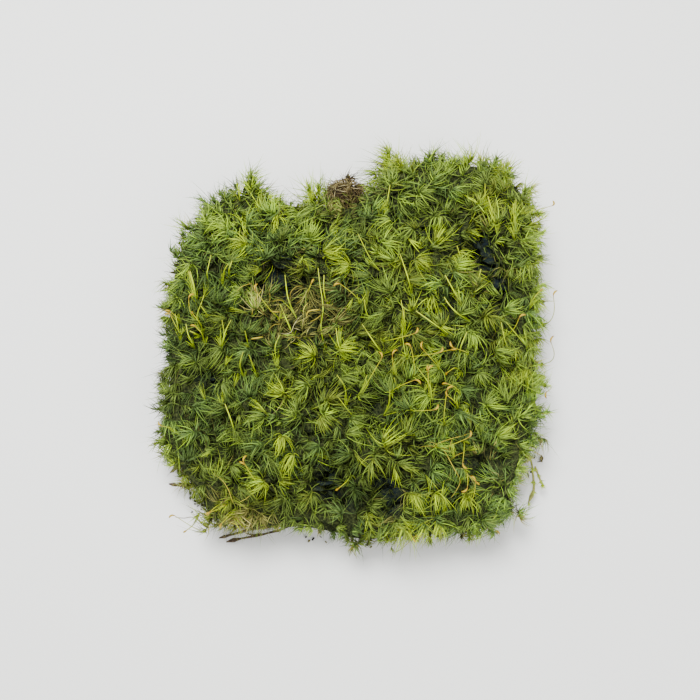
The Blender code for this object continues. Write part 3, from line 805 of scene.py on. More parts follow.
# One tree makes the leaves of every shoot in a group: a spiral of closed, keeled blades
def makeLeafTree():
    inputs = {key: ("NodeSocketInt" if isinstance(value, int) else "NodeSocketFloat", value)
              for key, value in leafSettings.items()}
    inputs["material"] = ("NodeSocketMaterial", None)
    tree, sheet, wires, keys = newGeometryTree("leafySpiral", inputs)
    # one point for each leaf
    count = readAttribute(sheet, "leaves")
    copies = sheet.add("GeometryNodeDuplicateElements", {"domain": "POINT"},
                       {"Geometry": wires["Geometry"], "Amount": count})
    turn = Wire(sheet, copies.socket.node.outputs["Duplicate Index"])
    key = sheet.add("GeometryNodeInputIndex", {})
    axis = readAttribute(sheet, "axis", "FLOAT_VECTOR")
    sweep = readAttribute(sheet, "sweep", "FLOAT_VECTOR")
    size = readAttribute(sheet, "size")
    secund = readAttribute(sheet, "secund")
    seed = wires["seed"]
    age = sheet.clamp((turn + randomValue(sheet, -0.4, 0.4, seed, key)) / count)
    around = turn * leafShape["golden"] + secund * leafShape["turn"]
    across = sheet.vector("CROSS_PRODUCT", axis, sweep)
    radial = sweep * sheet.math("COSINE", around) + across * sheet.math("SINE", around)
    opening = age ** 0.5
    angle = wires["topAngle"] + (wires["lowAngle"] - wires["topAngle"]) * opening
    angle = angle + randomValue(sheet, -1.0, 1.0, seed + 1.0, key) * wires["angleScatter"]
    angle = angle * leafShape["degree"]
    heading = axis * sheet.math("COSINE", angle) + radial * sheet.math("SINE", angle)
    heading = heading + sweep * (wires["sideways"] * (0.25 + secund * 0.75))
    heading = heading + randomVector(sheet, seed + 2.0, key) * leafShape["headingScatter"]
    heading = sheet.vector("NORMALIZE", heading)
    bendWay = sweep * (0.8 + secund * 2.0) - axis * (age * 0.4 + 0.1)
    bendWay = bendWay + randomVector(sheet, seed + 3.0, key) * leafShape["bendScatter"]
    bendWay = bendWay - heading * sheet.vector("DOT_PRODUCT", bendWay, heading)
    bendWay = sheet.vector("NORMALIZE", bendWay)
    bend = randomValue(sheet, wires["bendLeast"], wires["bendMost"], seed + 4.0, key)
    bend = bend * readAttribute(sheet, "curl")
    length = wires["leafLength"] * size * (0.66 + 0.45 * opening)
    length = length * randomValue(sheet, *leafShape["lengthScatter"], seed + 5.0, key)
    below = wires["leafyLength"] * size * age
    root = sheet.add("GeometryNodeInputPosition", {}) - axis * below
    tones = float(paletteSettings["tones"])
    columns = tones * len(paletteSettings["families"])
    prime = leafShape["prime"]
    # painted shade and real ageing: leaves low on the stem are darker
    ageAndPaintedShade = wires["fade"] * (prime - sheet.math("ABSOLUTE", age - prime))
    tone = readAttribute(sheet, "tone") + ageAndPaintedShade
    tone = tone + randomValue(sheet, -0.2, 0.2, seed + 6.0, key)
    family = readAttribute(sheet, "family") + randomValue(sheet, -0.3, 0.3, seed + 7.0, key)
    family = sheet.math("FLOOR", sheet.math("MINIMUM", sheet.math("MAXIMUM", family, 0.0), 2.99))
    chance = randomValue(sheet, 0.0, 1.0, seed + 8.0, key)
    browning = sheet.clamp(age * 1.6 - 0.9) * wires["oldDead"]
    dead = sheet.math("LESS_THAN", chance, readAttribute(sheet, "worn") + browning)
    family = family + (wires["deadFamily"] - family) * dead
    column = family * tones + sheet.math("FLOOR", sheet.clamp(tone) * (tones - 0.01))
    points = copies
    for name, kind, value in (("leafRoot", "FLOAT_VECTOR", root),
                              ("leafHeading", "FLOAT_VECTOR", heading * length),
                              ("leafBend", "FLOAT_VECTOR", bendWay * (length * bend)),
                              ("leafSide", "FLOAT_VECTOR",
                               sheet.vector("CROSS_PRODUCT", heading, bendWay)),
                              ("leafBendShare", "FLOAT", bend),
                              ("leafColumn", "FLOAT", column)):
        points = storeAttribute(sheet, points, name, kind, value)
    # the blade: a three-sided cone whose place is kept before it is copied
    blade = sheet.add("GeometryNodeMeshCone", {"fill_type": "NGON"},
                      {"Vertices": 3, "Side Segments": wires["bladeRings"], "Radius Top": 0.0,
                       "Radius Bottom": 1.0, "Depth": 1.0})
    blade = storeAttribute(sheet, blade, "blade", "FLOAT_VECTOR",
                           sheet.add("GeometryNodeInputPosition", {}))
    leaves = sheet.add("GeometryNodeInstanceOnPoints", {}, {"Points": points, "Instance": blade})
    leaves = sheet.add("GeometryNodeRealizeInstances", {}, {"Geometry": leaves})
    bladePlace = readAttribute(sheet, "blade", "FLOAT_VECTOR")
    sideways, raised, share = (sheet.part(bladePlace, letter) for letter in "XYZ")
    root = readAttribute(sheet, "leafRoot", "FLOAT_VECTOR")
    heading = readAttribute(sheet, "leafHeading", "FLOAT_VECTOR")
    bending = readAttribute(sheet, "leafBend", "FLOAT_VECTOR")
    side = readAttribute(sheet, "leafSide", "FLOAT_VECTOR")
    bendShare = readAttribute(sheet, "leafBendShare")
    middle = root + heading * (share - 0.3 * bendShare * share * share) + bending * share * share
    along = heading * (1.0 - 0.6 * bendShare * share) + bending * (share * 2.0)
    upward = sheet.vector("NORMALIZE", sheet.vector("CROSS_PRODUCT", side, along))
    width = wires["leafWidth"] * (1.0001 - share) ** -0.15
    place = middle + side * (sideways * width) + upward * (raised * width * leafShape["keel"])
    leaves = sheet.add("GeometryNodeSetPosition", {}, {"Geometry": leaves, "Position": place})
    # palette place: one column for each leaf
    u = (readAttribute(sheet, "leafColumn") + 0.5 + sideways * 0.45) / columns
    palette = sheet.add("ShaderNodeCombineXYZ", {}, {"X": u, "Y": 0.02 + share * 0.96})
    leaves = storeAttribute(sheet, leaves, paletteSettings["map"], "FLOAT2", palette, "CORNER")
    for name in ("leafRoot", "leafHeading", "leafBend", "leafSide", "leafBendShare",
                 "leafColumn", "blade", *shootLayers):
        leaves = sheet.add("GeometryNodeRemoveAttribute", {}, {"Geometry": leaves, "Name": name})
    endTree(tree, sheet, leaves, wires)
    return tree, keys


shootLayers = {"axis": "FLOAT_VECTOR", "sweep": "FLOAT_VECTOR", "size": "FLOAT",
               "secund": "FLOAT", "tone": "FLOAT", "family": "FLOAT", "worn": "FLOAT",
               "curl": "FLOAT", "leaves": "FLOAT"}


def pointsObject(name, group):
    mesh = bpy.data.meshes.new(name)
    mesh.from_pydata([shoot["place"] * mm for shoot in group], [], [])
    for key, kind in shootLayers.items():
        layer = mesh.attributes.new(key, kind, "POINT")
        slot = "vector" if kind == "FLOAT_VECTOR" else "value"
        values = [shoot[key] for shoot in group]
        layer.data.foreach_set(slot, np.array(values, float).ravel())
    return addObject(name, mesh)


def runTree(piece, tree, keys, values):
    modifier = piece.modifiers.new("grow", "NODES")
    modifier.node_group = tree
    for label, value in values.items():
        modifier[keys[label]] = value
    bpy.context.view_layer.update()
    evaluated = piece.evaluated_get(bpy.context.evaluated_depsgraph_get())
    grown = bpy.data.meshes.new_from_object(evaluated)
    piece.modifiers.remove(modifier)
    old = piece.data
    piece.data = grown
    bpy.data.meshes.remove(old)
    grown.name = piece.name
    grown.shade_smooth()


def keepAboveFloor(piece):
    places = np.empty(3 * len(piece.data.vertices))
    piece.data.vertices.foreach_get("co", places)
    places[2::3] = np.maximum(places[2::3], leafShape["floor"] * mm)
    piece.data.vertices.foreach_set("co", places)


def growLeaves(name, group, settings, material):
    piece = pointsObject(name, group)
    values = {key: value * mm if key in leafLengths else value
              for key, value in settings.items()}
    runTree(piece, leafTree, leafKeys, {**values, "material": material})
    keepAboveFloor(piece)
    return piece


print("stage: leaves")
leafTree, leafKeys = makeLeafTree()
leafMaterial = paletteMaterial("mossLeaf", paletteSettings)
lowLeafSettings = dict(leafSettings, bladeRings=3, seed=40)
for main, name, settings in ((True, "tallShoots", leafSettings),
                             (False, "lowShoots", lowLeafSettings)):
    sectors = {}
    for shoot in shoots:
        if shoot["main"] == main:
            turn = (math.atan2(shoot["place"].y, shoot["place"].x) + math.pi) / math.tau
            sectors.setdefault(int(turn * 3) % 3, []).append(shoot)
    for sector in sorted(sectors):
        leaves = growLeaves(name + str(sector + 1), sectors[sector], settings, leafMaterial)
        finishPiece(leaves, "moss_leaves", "moss_cushion")


# Old stems and shade between the shoots
bedSettings = {
    "rounds": 4, "depth": 5.0, "sideDepth": 0.5, "gapDepth": 5.0,
    "foot": 13.6,
    "edge": (15.0, 6.0),      # height at which it starts to sink in, and over which
    "grain": 1100.0,
    "dark": (0.010, 0.014, 0.006, 1.0), "light": (0.054, 0.065, 0.020, 1.0),
    # painted shade: the bed turns blue-black deep in the gaps
    "gapShadeColour": (0.008, 0.013, 0.015, 1.0),
}


def makeBed(settings):
    bed = cushion.copy()
    bmesh.ops.subdivide_edges(bed, edges=bed.edges[:], cuts=1, use_grid_fill=True)
    gapLayer = bed.verts.layers.float.new("gap")
    for _ in range(settings["rounds"]):
        bmesh.ops.smooth_vert(bed, verts=bed.verts[:], factor=0.5, use_axis_x=True,
                              use_axis_y=True, use_axis_z=True)
    bed.normal_update()
    edge, over = settings["edge"]
    for vert in bed.verts:
        share = limit((vert.co.z - edge) / over)
        inward = Vector((vert.normal.x, vert.normal.y, vert.normal.z * share))
        flat = abs(vert.normal.z)
        vert[gapLayer] = gapAt(vert.co)
        depth = settings["depth"] + settings["gapDepth"] * vert[gapLayer]
        vert.co -= inward * (settings["sideDepth"] * (1.0 - flat) + depth * flat)
        vert.co.z = settings["foot"] + (vert.co.z - settings["foot"]) * share
    piece = objectFrom(bed, "oldStems")
    material, sheet = newMaterial("shadedStems", settings["dark"][:3])
    place = sheet.add("ShaderNodeTexCoord", {}, {}, "Object")
    grain = sheet.add("ShaderNodeTexNoise", {},
                      {"Vector": place, "Scale": settings["grain"], "Detail": 3.0})
    speck = sheet.clamp(grain * 3.4 - 1.3)
    colour = sheet.mixColour(speck, settings["dark"], settings["light"])
    gap = sheet.add("ShaderNodeAttribute", {"attribute_name": "gap"}, {}, "Fac")
    # painted shade deep in the gaps
    share = sheet.clamp(gap * (1.3 - speck * 0.9))
    colour = sheet.mixColour(share, colour, settings["gapShadeColour"])
    bump = sheet.add("ShaderNodeBump", {}, {"Strength": 0.6, "Distance": 0.001, "Height": grain})
    finishMaterial(sheet, colour, 0.95, bump, 0.05)
    piece.data.materials.append(material)
    finishPiece(piece, "moss_leaves", "moss_cushion")


print("stage: old stems")
makeBed(bedSettings)


# Seed stalks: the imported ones, rounded, and thinner ones that carry no solid of their own.
# Each point of a stalk knows its share of the way from the foot to the tip.
stalkSettings = {
    "neck": 0.72,             # share of the way at which the capsule starts
    "capsuleLength": 3.6,
    "slimTo": 0.7,            # share of the way that is slimmed as a stem
    "slim": 0.1,
    "slimCapsule": 0.15,
    "greenColours": [(0.0, (0.200, 0.310, 0.003)), (0.6, (0.380, 0.500, 0.004)),
                     (1.0, (0.500, 0.560, 0.030))],
    "ripeColours": [(0.0, (0.180, 0.260, 0.003)), (0.45, (0.320, 0.370, 0.004)),
                    (0.72, (0.340, 0.300, 0.008)), (0.76, (0.215, 0.120, 0.012)),
                    (0.84, (0.385, 0.262, 0.008)), (0.93, (0.425, 0.298, 0.010)),
                    (1.0, (0.120, 0.040, 0.004))],
}


def rampMaterial(name, stops, roughness):
    material, sheet = newMaterial(name, stops[-1][1])
    along = sheet.add("ShaderNodeAttribute", {"attribute_name": "along"}, {}, "Fac")
    finishMaterial(sheet, sheet.ramp(along, stops), roughness, None, 0.2)
    return material


def distancesFrom(start):
    far = {start: 0.0}
    edge = [start]
    while edge:
        edge.sort(key=far.get)
        vert = edge.pop(0)
        for link in vert.link_edges:
            other = link.other_vert(vert)
            reach = far[vert] + link.calc_length()
            if other not in far or reach < far[other] - 1e-6:
                far[other] = reach
                edge.append(other)
    return far


def stalkShares(shape, foot):
    far = distancesFrom(foot)
    total = max(far.values())
    stem, neck = total - stalkSettings["capsuleLength"], stalkSettings["neck"]
    for vert in shape.verts:
        reach = far.get(vert, 0.0)
        if reach < stem:
            yield vert, neck * reach / stem
        else:
            yield vert, neck + (1.0 - neck) * (reach - stem) / (total - stem)


def ripeStalk(node, material):
    shape = mergedCopy(node)
    ends = [cushionSurface.find_nearest(vert.co) for vert in shape.verts]
    nearest = min(range(len(ends)), key=lambda index: ends[index][3])
    layer = shape.verts.layers.float.new("along")
    shape.verts.ensure_lookup_table()
    foot = shape.verts[nearest].co.copy()
    for vert, share in stalkShares(shape, shape.verts[nearest]):
        vert[layer] = share
        slim = "slim" if share < stalkSettings["slimTo"] else "slimCapsule"
        vert.co -= vert.normal * stalkSettings[slim]
    piece = objectFrom(shape, node.replace("seed_stalk_", "seedStalk"))
    piece.data.materials.append(material)
    rounding = piece.modifiers.new("round", "SUBSURF")
    rounding.levels = 1
    bpy.context.view_layer.update()
    evaluated = piece.evaluated_get(bpy.context.evaluated_depsgraph_get())
    mesh = bpy.data.meshes.new_from_object(evaluated)
    piece.modifiers.clear()
    piece.data = mesh
    mesh.name = piece.name
    mesh.shade_smooth()
    finishPiece(piece, "seed_stalks", node)
    return foot


print("stage: seed stalks")
ripeMaterial = rampMaterial("ripeStalk", stalkSettings["ripeColours"], 0.4)
greenMaterial = rampMaterial("greenStalk", stalkSettings["greenColours"], 0.4)
stalkNodes = sorted(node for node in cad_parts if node.startswith("seed_stalk_"))
stalkFeet = [ripeStalk(node, ripeMaterial) for node in stalkNodes]

# Thin stalks without a solid of their own, by the spots of the picture they pass, foot last
greenPaths = [
    [(362, 324), (376, 345), (384, 355)], [(336, 328), (339, 346), (347, 359)],
    [(364, 300), (367, 314), (373, 320)], [(416, 311), (437, 326), (449, 336)],
    [(401, 300), (404, 318), (402, 331), (406, 360)], [(417, 367), (429, 384), (432, 399)],
    [(367, 375), (361, 396)], [(337, 375), (345, 388), (346, 407)],
    [(338, 397), (348, 410), (357, 420)], [(390, 390), (389, 403), (384, 415)],
    [(446, 301), (457, 313), (473, 323)], [(506, 322), (516, 334), (527, 347)],
    [(501, 322), (505, 341), (508, 352)], [(467, 332), (461, 346), (459, 360)],
    [(285, 275), (286, 285), (288, 298), (292, 309), (296, 317)],
    [(280, 304), (284, 314), (290, 328), (294, 338)], [(324, 275), (324, 292), (329, 312)],
    [(318, 268), (320, 285), (322, 297), (323, 310), (321, 325), (322, 335), (325, 350)],
    [(280, 335), (275, 348), (278, 369)], [(245, 331), (247, 340), (249, 348)],
    [(211, 255), (208, 268), (207, 275), (209, 285)], [(228, 264), (224, 272), (223, 288)],
    [(232, 261), (229, 270), (229, 278)], [(201, 306), (206, 313), (210, 318)],
    [(204, 295), (201, 304), (198, 312), (197, 321), (200, 330), (203, 334)],
    [(175, 314), (177, 322), (179, 332), (181, 342)], [(190, 331), (196, 334), (201, 337)],
    [(186, 324), (188, 334), (192, 342), (195, 349)], [(222, 320), (224, 334), (222, 348)],
    [(231, 320), (226, 330), (223, 340), (222, 348)], [(188, 271), (191, 283), (196, 302)],
    [(189, 272), (193, 284), (195, 293), (198, 303)], [(190, 271), (194, 286), (197, 302)],
    [(243, 352), (240, 366), (245, 379)], [(249, 355), (258, 379)],
    [(400, 254), (408, 278), (412, 297)], [(420, 273), (438, 298)],
    [(445, 275), (462, 306)], [(444, 297), (454, 310), (472, 322)],
    [(358, 234), (370, 258), (379, 270)], [(390, 185), (385, 216)],
    [(485, 184), (485, 215)], [(488, 196), (497, 234)], [(457, 246), (466, 274)],
    [(481, 269), (473, 299)], [(225, 404), (232, 423), (237, 442)],
    [(403, 310), (401, 334)], [(404, 309), (405, 336)], [(516, 200), (514, 238)],
    [(513, 204), (515, 232)], [(394, 378), (398, 392)],
]
# ripe ones the same way, capsule first
ripePaths = [
    [(450, 350), (436, 352), (425, 345)], [(427, 371), (428, 381), (424, 392)],
    [(448, 372), (455, 368), (462, 372)], [(448, 384), (456, 388), (461, 396)],
    [(448, 396), (455, 402), (458, 410)], [(196, 327), (202, 334), (206, 346)],
    [(193, 314), (199, 322), (204, 332)], [(475, 481), (468, 476), (460, 480)],
    [(339, 488), (346, 482), (352, 474)], [(222, 523), (229, 516), (236, 508)],
    [(211, 512), (220, 508), (230, 500)], [(162, 426), (170, 428), (180, 434)],
    [(412, 537), (408, 528), (402, 518)], [(540, 291), (534, 298), (530, 308)],
    [(171, 312), (176, 317), (181, 324)], [(311, 284), (308, 291), (303, 297)],
    [(187, 530), (193, 525), (199, 514)], [(245, 465), (250, 470), (256, 476)],
    [(211, 511), (217, 506), (225, 503)],
]
pathSettings = {
    "seed": 21,
    "steps": 9,
    "footDepth": 2.5,
    "lift": (4.0, 7.0),
    "lowest": 26.0,
    "lowestFoot": 15.0,
    "firstGuess": 45.0,
    "rounds": 3,
    "radius": 0.19,
    "taper": 0.45,
    "greenThickness": (0.95, 1.65),
    "capsuleRadius": 0.38,
    "capsuleLength": 2.8,
    "capsuleHook": 1.5,
    "capsuleStart": 0.74,     # share of the way, in colour
    "capsuleStray": 0.4,
    "capsuleShape": [(0.12, 0.6), (0.35, 0.95), (0.65, 1.0), (0.88, 0.75), (1.0, 0.3)],
    "ripeRadius": 0.85,
    "capsuleStem": 0.72,
}


def makeStalkTree():
    tree, sheet, wires, keys = newGeometryTree("thinStalk", {
        "sides": ("NodeSocketInt", 5), "material": ("NodeSocketMaterial", None)})
    curves = sheet.add("GeometryNodeMeshToCurve", {}, {"Mesh": wires["Geometry"]})
    curves = sheet.add("GeometryNodeSetCurveRadius", {},
                       {"Curve": curves, "Radius": readAttribute(sheet, "thick")})
    profile = sheet.add("GeometryNodeCurvePrimitiveCircle", {},
                        {"Resolution": wires["sides"], "Radius": 1.0})
    tubes = sheet.add("GeometryNodeCurveToMesh", {},
                      {"Curve": curves, "Profile Curve": profile, "Fill Caps": True})
    names = [socket.name for socket in tubes.socket.node.inputs]
    if "Scale" in names:
        tree.links.new(readAttribute(sheet, "thick").socket, tubes.socket.node.inputs["Scale"])
    tubes = sheet.add("GeometryNodeRemoveAttribute", {}, {"Geometry": tubes, "Name": "thick"})
    endTree(tree, sheet, tubes, wires)
    return tree, keys


stalkTree, stalkTreeKeys = makeStalkTree()


# Each line is a list of (place, thickness, share along)
def tubesObject(name, lines, sides, material):
    places, edges, thick, along = [], [], [], []
    for line in lines:
        first = len(places)
        edges += [(first + step, first + step + 1) for step in range(len(line) - 1)]
        for place, radius, share in line:
            places.append(place * mm)
            thick.append(radius * mm)
            along.append(share)
    mesh = bpy.data.meshes.new(name)
    mesh.from_pydata(places, edges, [])
    for key, values in (("thick", thick), ("along", along)):
        mesh.attributes.new(key, "FLOAT", "POINT").data.foreach_set("value", values)
    piece = addObject(name, mesh)
    runTree(piece, stalkTree, stalkTreeKeys, {"sides": sides, "material": material})
    return piece


def smoothThrough(points, steps):
    ends = [points[0] * 2.0 - points[1], *points, points[-1] * 2.0 - points[-2]]
    line = []
    for index in range(1, len(ends) - 2):
        a, b, c, d = ends[index - 1:index + 3]
        for step in range(steps):
            t = step / steps
            line.append(0.5 * (2.0 * b + (c - a) * t + (2.0 * a - 5.0 * b + 4.0 * c - d) * t * t
                               + (3.0 * b - a - 3.0 * c + d) * t ** 3))
    return line + [points[-1]]


def pathPoints(path, rng):
    settings = pathSettings
    lift = rng.uniform(*settings["lift"])
    points = []
    for index, (across, down) in enumerate(reversed(path)):
        lowest, rise = settings["lowestFoot"], -settings["footDepth"]
        if index:
            lowest = settings["lowest"]
            rise = lift * math.sin(0.5 * math.pi * index / (len(path) - 1))
        place = pictured(across, down, settings["firstGuess"])
        for _ in range(settings["rounds"]):
            height = max(surfaceHeight(place.x, place.y), lowest) + rise
            place = pictured(across, down, height)
        points.append(place)
    return smoothThrough(points, settings["steps"])


def greenLine(path, rng):
    settings = pathSettings
    points = pathPoints(path, rng)
    last = len(points) - 1
    radius = settings["radius"] * rng.uniform(*settings["greenThickness"])
    return [(place, radius * (1.0 - settings["taper"] * (step / last) ** 4), step / last)
            for step, place in enumerate(points)]


def ripeLine(path, rng):
    settings = pathSettings
    points = pathPoints(path, rng)
    last = len(points) - 1
    line = [(place, settings["radius"] * settings["ripeRadius"],
             settings["capsuleStem"] * step / last)
            for step, place in enumerate(points)]
    onward = (points[-1] - points[-3]).normalized()
    down = Vector((0.0, 0.0, -1.0)) + gaussVector(rng) * settings["capsuleStray"]
    down = (down - onward * down.dot(onward)).normalized()
    bend, start = settings["capsuleLength"] / settings["capsuleHook"], settings["capsuleStart"]
    for share, swell in settings["capsuleShape"]:
        turn = settings["capsuleHook"] * share
        place = points[-1] + onward * (bend * math.sin(turn))
        place += down * (bend * (1 - math.cos(turn)))
        line.append((place, settings["capsuleRadius"] * swell, start + (1.0 - start) * share))
    return line


pathRandom = random.Random(pathSettings["seed"])
greenLines = [greenLine(path, pathRandom) for path in greenPaths]
greenStalks = tubesObject("greenStalks", greenLines, 5, greenMaterial)
finishPiece(greenStalks, "seed_stalks")
ripeLines = [ripeLine(path, pathRandom) for path in ripePaths]
ripeStalks = tubesObject("ripeStalks", ripeLines, 6, ripeMaterial)
finishPiece(ripeStalks, "seed_stalks")


# Dry threads and curled dead leaves that lie on the shoots: tone from dark to pale, thickness
# against the usual, spots of the picture they pass
threadPaths = [
    (0.68, 2.9, [(306, 318), (308, 312), (314, 310), (321, 310)]),
    (0.45, 2.0, [(290, 298), (291, 292), (296, 287), (302, 286)]),
    (0.80, 1.6, [(303, 315), (304, 308), (308, 303)]),
    (0.50, 1.5, [(269, 304), (270, 297), (269, 290)]),
    (0.60, 2.6, [(270, 311), (275, 312), (280, 312)]),
    (0.66, 2.9, [(251, 339), (257, 338), (263, 337)]),
    (0.35, 0.9, [(257, 305), (262, 312), (268, 317)]),
    (0.55, 1.4, [(272, 302), (278, 300), (284, 301)]),
    (0.45, 1.4, [(296, 304), (301, 300), (305, 294)]),
    (0.60, 1.5, [(310, 322), (316, 319), (321, 315)]),
    (0.50, 1.4, [(268, 330), (274, 325), (281, 324)]),
    (0.55, 1.4, [(285, 308), (280, 316), (279, 322)]),
    (0.60, 1.5, [(287, 341), (293, 337), (300, 338)]),
    (1.00, 0.75, [(303, 314), (298, 319), (294, 325), (291, 332), (285, 334), (280, 333)]),
    (1.00, 0.7, [(294, 328), (297, 329), (300, 330)]),
    (0.55, 1.2, [(420, 447), (432, 446), (445, 449), (455, 454)]),
    (0.75, 1.3, [(437, 445), (445, 452), (450, 461), (455, 470), (459, 477)]),
    (0.65, 1.0, [(459, 477), (460, 483), (456, 491), (451, 498)]),
    (0.55, 1.2, [(449, 455), (450, 446), (452, 439)]),
    (0.60, 1.1, [(451, 459), (457, 455), (465, 452)]),
    (0.70, 1.0, [(432, 448), (437, 444), (450, 439), (462, 436), (470, 433)]),
    (0.50, 1.1, [(428, 442), (434, 443), (440, 447)]),
    (0.75, 1.0, [(213, 474), (222, 480), (228, 489), (231, 497), (233, 503)]),
    (0.80, 1.2, [(240, 502), (247, 498), (254, 492)]),
    (0.75, 1.0, [(252, 283), (243, 286), (238, 290), (236, 297)]),
    (0.70, 1.0, [(263, 289), (256, 298), (253, 308), (252, 315)]),
    (0.20, 1.8, [(220, 505), (224, 501), (228, 496)]),
    (0.60, 2.0, [(220, 507), (223, 506), (227, 503)]),
    (0.30, 1.3, [(226, 524), (233, 520), (240, 525), (246, 532)]),
    (0.45, 1.3, [(232, 516), (240, 521), (247, 530)]),
    (0.40, 1.2, [(243, 515), (249, 522), (253, 530)]),
    (0.75, 1.0, [(228, 522), (235, 524), (243, 531)]),
]
# the same on the ground beside the clump
groundPaths = [
    (0.15, 2.2, [(541, 455), (543, 458), (541, 461), (537, 462)]),
    (0.15, 1.8, [(532, 455), (533, 458), (535, 457), (535, 454)]),
    (0.12, 2.4, [(528, 471), (528, 474), (529, 478)]),
    (0.70, 1.4, [(533, 452), (537, 453), (541, 456)]),
    (0.30, 1.2, [(524, 467), (528, 467), (532, 468)]),
    (0.30, 1.0, [(175, 517), (184, 518), (191, 517), (198, 519)]),
    (0.30, 1.0, [(189, 528), (193, 525), (197, 519)]),
    (0.12, 2.6, [(175, 463), (178, 468), (178, 472), (181, 474), (185, 477)]),
    (0.35, 2.8, [(219, 538), (228, 535), (240, 533), (250, 530), (262, 527)]),
    (0.15, 2.4, [(245, 533), (253, 535), (262, 533)]),
    (0.45, 1.6, [(228, 536), (233, 530), (236, 524)]),
    (0.40, 1.6, [(246, 532), (243, 525), (238, 519)]),
]
threadSettings = {
    "radius": 0.115,
    "taper": 0.7,
    "lift": 1.3,
    "groundHeight": 0.35,
    "steps": 5,
    "colours": [(0.0, (0.030, 0.018, 0.008)), (0.3, (0.110, 0.070, 0.020)),
                (0.5, (0.220, 0.180, 0.020)), (0.7, (0.430, 0.345, 0.028)),
                (0.85, (0.500, 0.460, 0.060)), (1.0, (0.540, 0.500, 0.240))],
}


def threadTube(points, tone, thickness):
    points = smoothThrough(points, threadSettings["steps"])
    last = len(points) - 1
    radius, taper = threadSettings["radius"] * thickness, threadSettings["taper"]
    return [(place, radius * (1.0 - taper * abs(2.0 * step / last - 1.0) ** 3), tone)
            for step, place in enumerate(points)]


def groundLine(tone, thickness, path):
    height = threadSettings["groundHeight"]
    return threadTube([pictured(across, down, height) for across, down in path], tone, thickness)


def threadLine(tone, thickness, path):
    settings = threadSettings
    places = [surfacePictured(across, down) for across, down in path]
    crowns = [crownHeight(place.x, place.y) for place in places]
    usual = sum(crowns) / len(crowns)
    points = []
    for index, (across, down) in enumerate(path):
        share = index / (len(path) - 1)
        height = max(crowns[index], usual) + settings["lift"] * math.sin(math.pi * share)
        points.append(pictured(across, down, height))
    return threadTube(points, tone, thickness)


threadLines = [threadLine(*entry) for entry in threadPaths]
threadLines += [groundLine(*entry) for entry in groundPaths]
threads = tubesObject("dryThreads", threadLines, 5,
                      rampMaterial("dryThread", threadSettings["colours"], 0.6))
finishPiece(threads, "seed_stalks")


# Yellow-green sheaths of upright leaves hold the foot of every stalk
sheathSettings = dict(leafSettings, seed=61, leafLength=8.0, leafWidth=0.28, leafyLength=2.5,
                      topAngle=2.0, lowAngle=15.0, angleScatter=5.0, bendLeast=0.02,
                      bendMost=0.25, sideways=0.08, fade=0.15, oldDead=0.0)
sheathLooks = {"size": (0.75, 1.1), "tone": (0.68, 0.92), "family": (2.0, 2.9), "leaves": 8,
               "stray": 0.12, "raise": 1.0}
# bright young leaves that stand out of the green: spot in the picture, way they point
brightTufts = [
    (222, 406, 100), (266, 413, 130), (246, 313, 180), (340, 345, 90), (452, 441, 270),
    (500, 437, 50), (470, 500, 90), (442, 500, 80), (465, 451, 10), (420, 497, 180),
    (204, 297, 80), (194, 290, 100), (515, 232, 90), (303, 258, 250), (260, 270, 190),
    (514, 239, 95), (514, 226, 88), (515, 216, 92), (536, 224, 30),
    (367, 306, 90), (225, 366, 80), (234, 386, 80), (403, 334, 90), (343, 232, 0),
    (240, 200, 100), (270, 205, 60), (312, 202, 90), (396, 380, 100), (427, 477, 300),
    (471, 425, 90), (284, 440, 250), (379, 215, 80), (408, 240, 320), (462, 292, 200),
    (352, 300, 250), (386, 352, 30), (320, 375, 200), (300, 400, 150), (356, 455, 300),
    (395, 470, 280), (245, 440, 190), (205, 400, 110), (212, 450, 220), (440, 325, 330),
]
brightSettings = {"depth": 1.5, "rise": 0.55}


def brightPlace(across, down):
    place = surfacePictured(across, down)
    height = crownHeight(place.x, place.y) - brightSettings["depth"]
    return Vector((place.x, place.y, height))


def brightWay(degrees):
    turn = math.radians(degrees)
    return Vector((math.cos(turn), math.sin(turn), brightSettings["rise"])).normalized()


def anySide(axis, rng):
    return axis.cross(gaussVector(rng)).normalized()


def makeSheaths(settings, looks):
    rng = random.Random(settings["seed"])
    group = []
    starts = [(foot, None) for foot in stalkFeet]
    starts += [(line[0][0], (line[4][0] - line[0][0]).normalized())
               for line in greenLines + ripeLines]
    starts += [(brightPlace(across, down), brightWay(way)) for across, down, way in brightTufts]
    for place, heading in starts:
        axis = heading or Vector((0.0, 0.0, 1.0))
        axis = (axis + gaussVector(rng) * looks["stray"]).normalized()
        sweep = anySide(axis, rng)
        group.append(smallShoot(place + axis * looks["raise"], axis, sweep, 0.0, looks, rng))
    finishPiece(growLeaves("sheathLeaves", group, settings, leafMaterial), "moss_leaves")


makeSheaths(sheathSettings, sheathLooks)


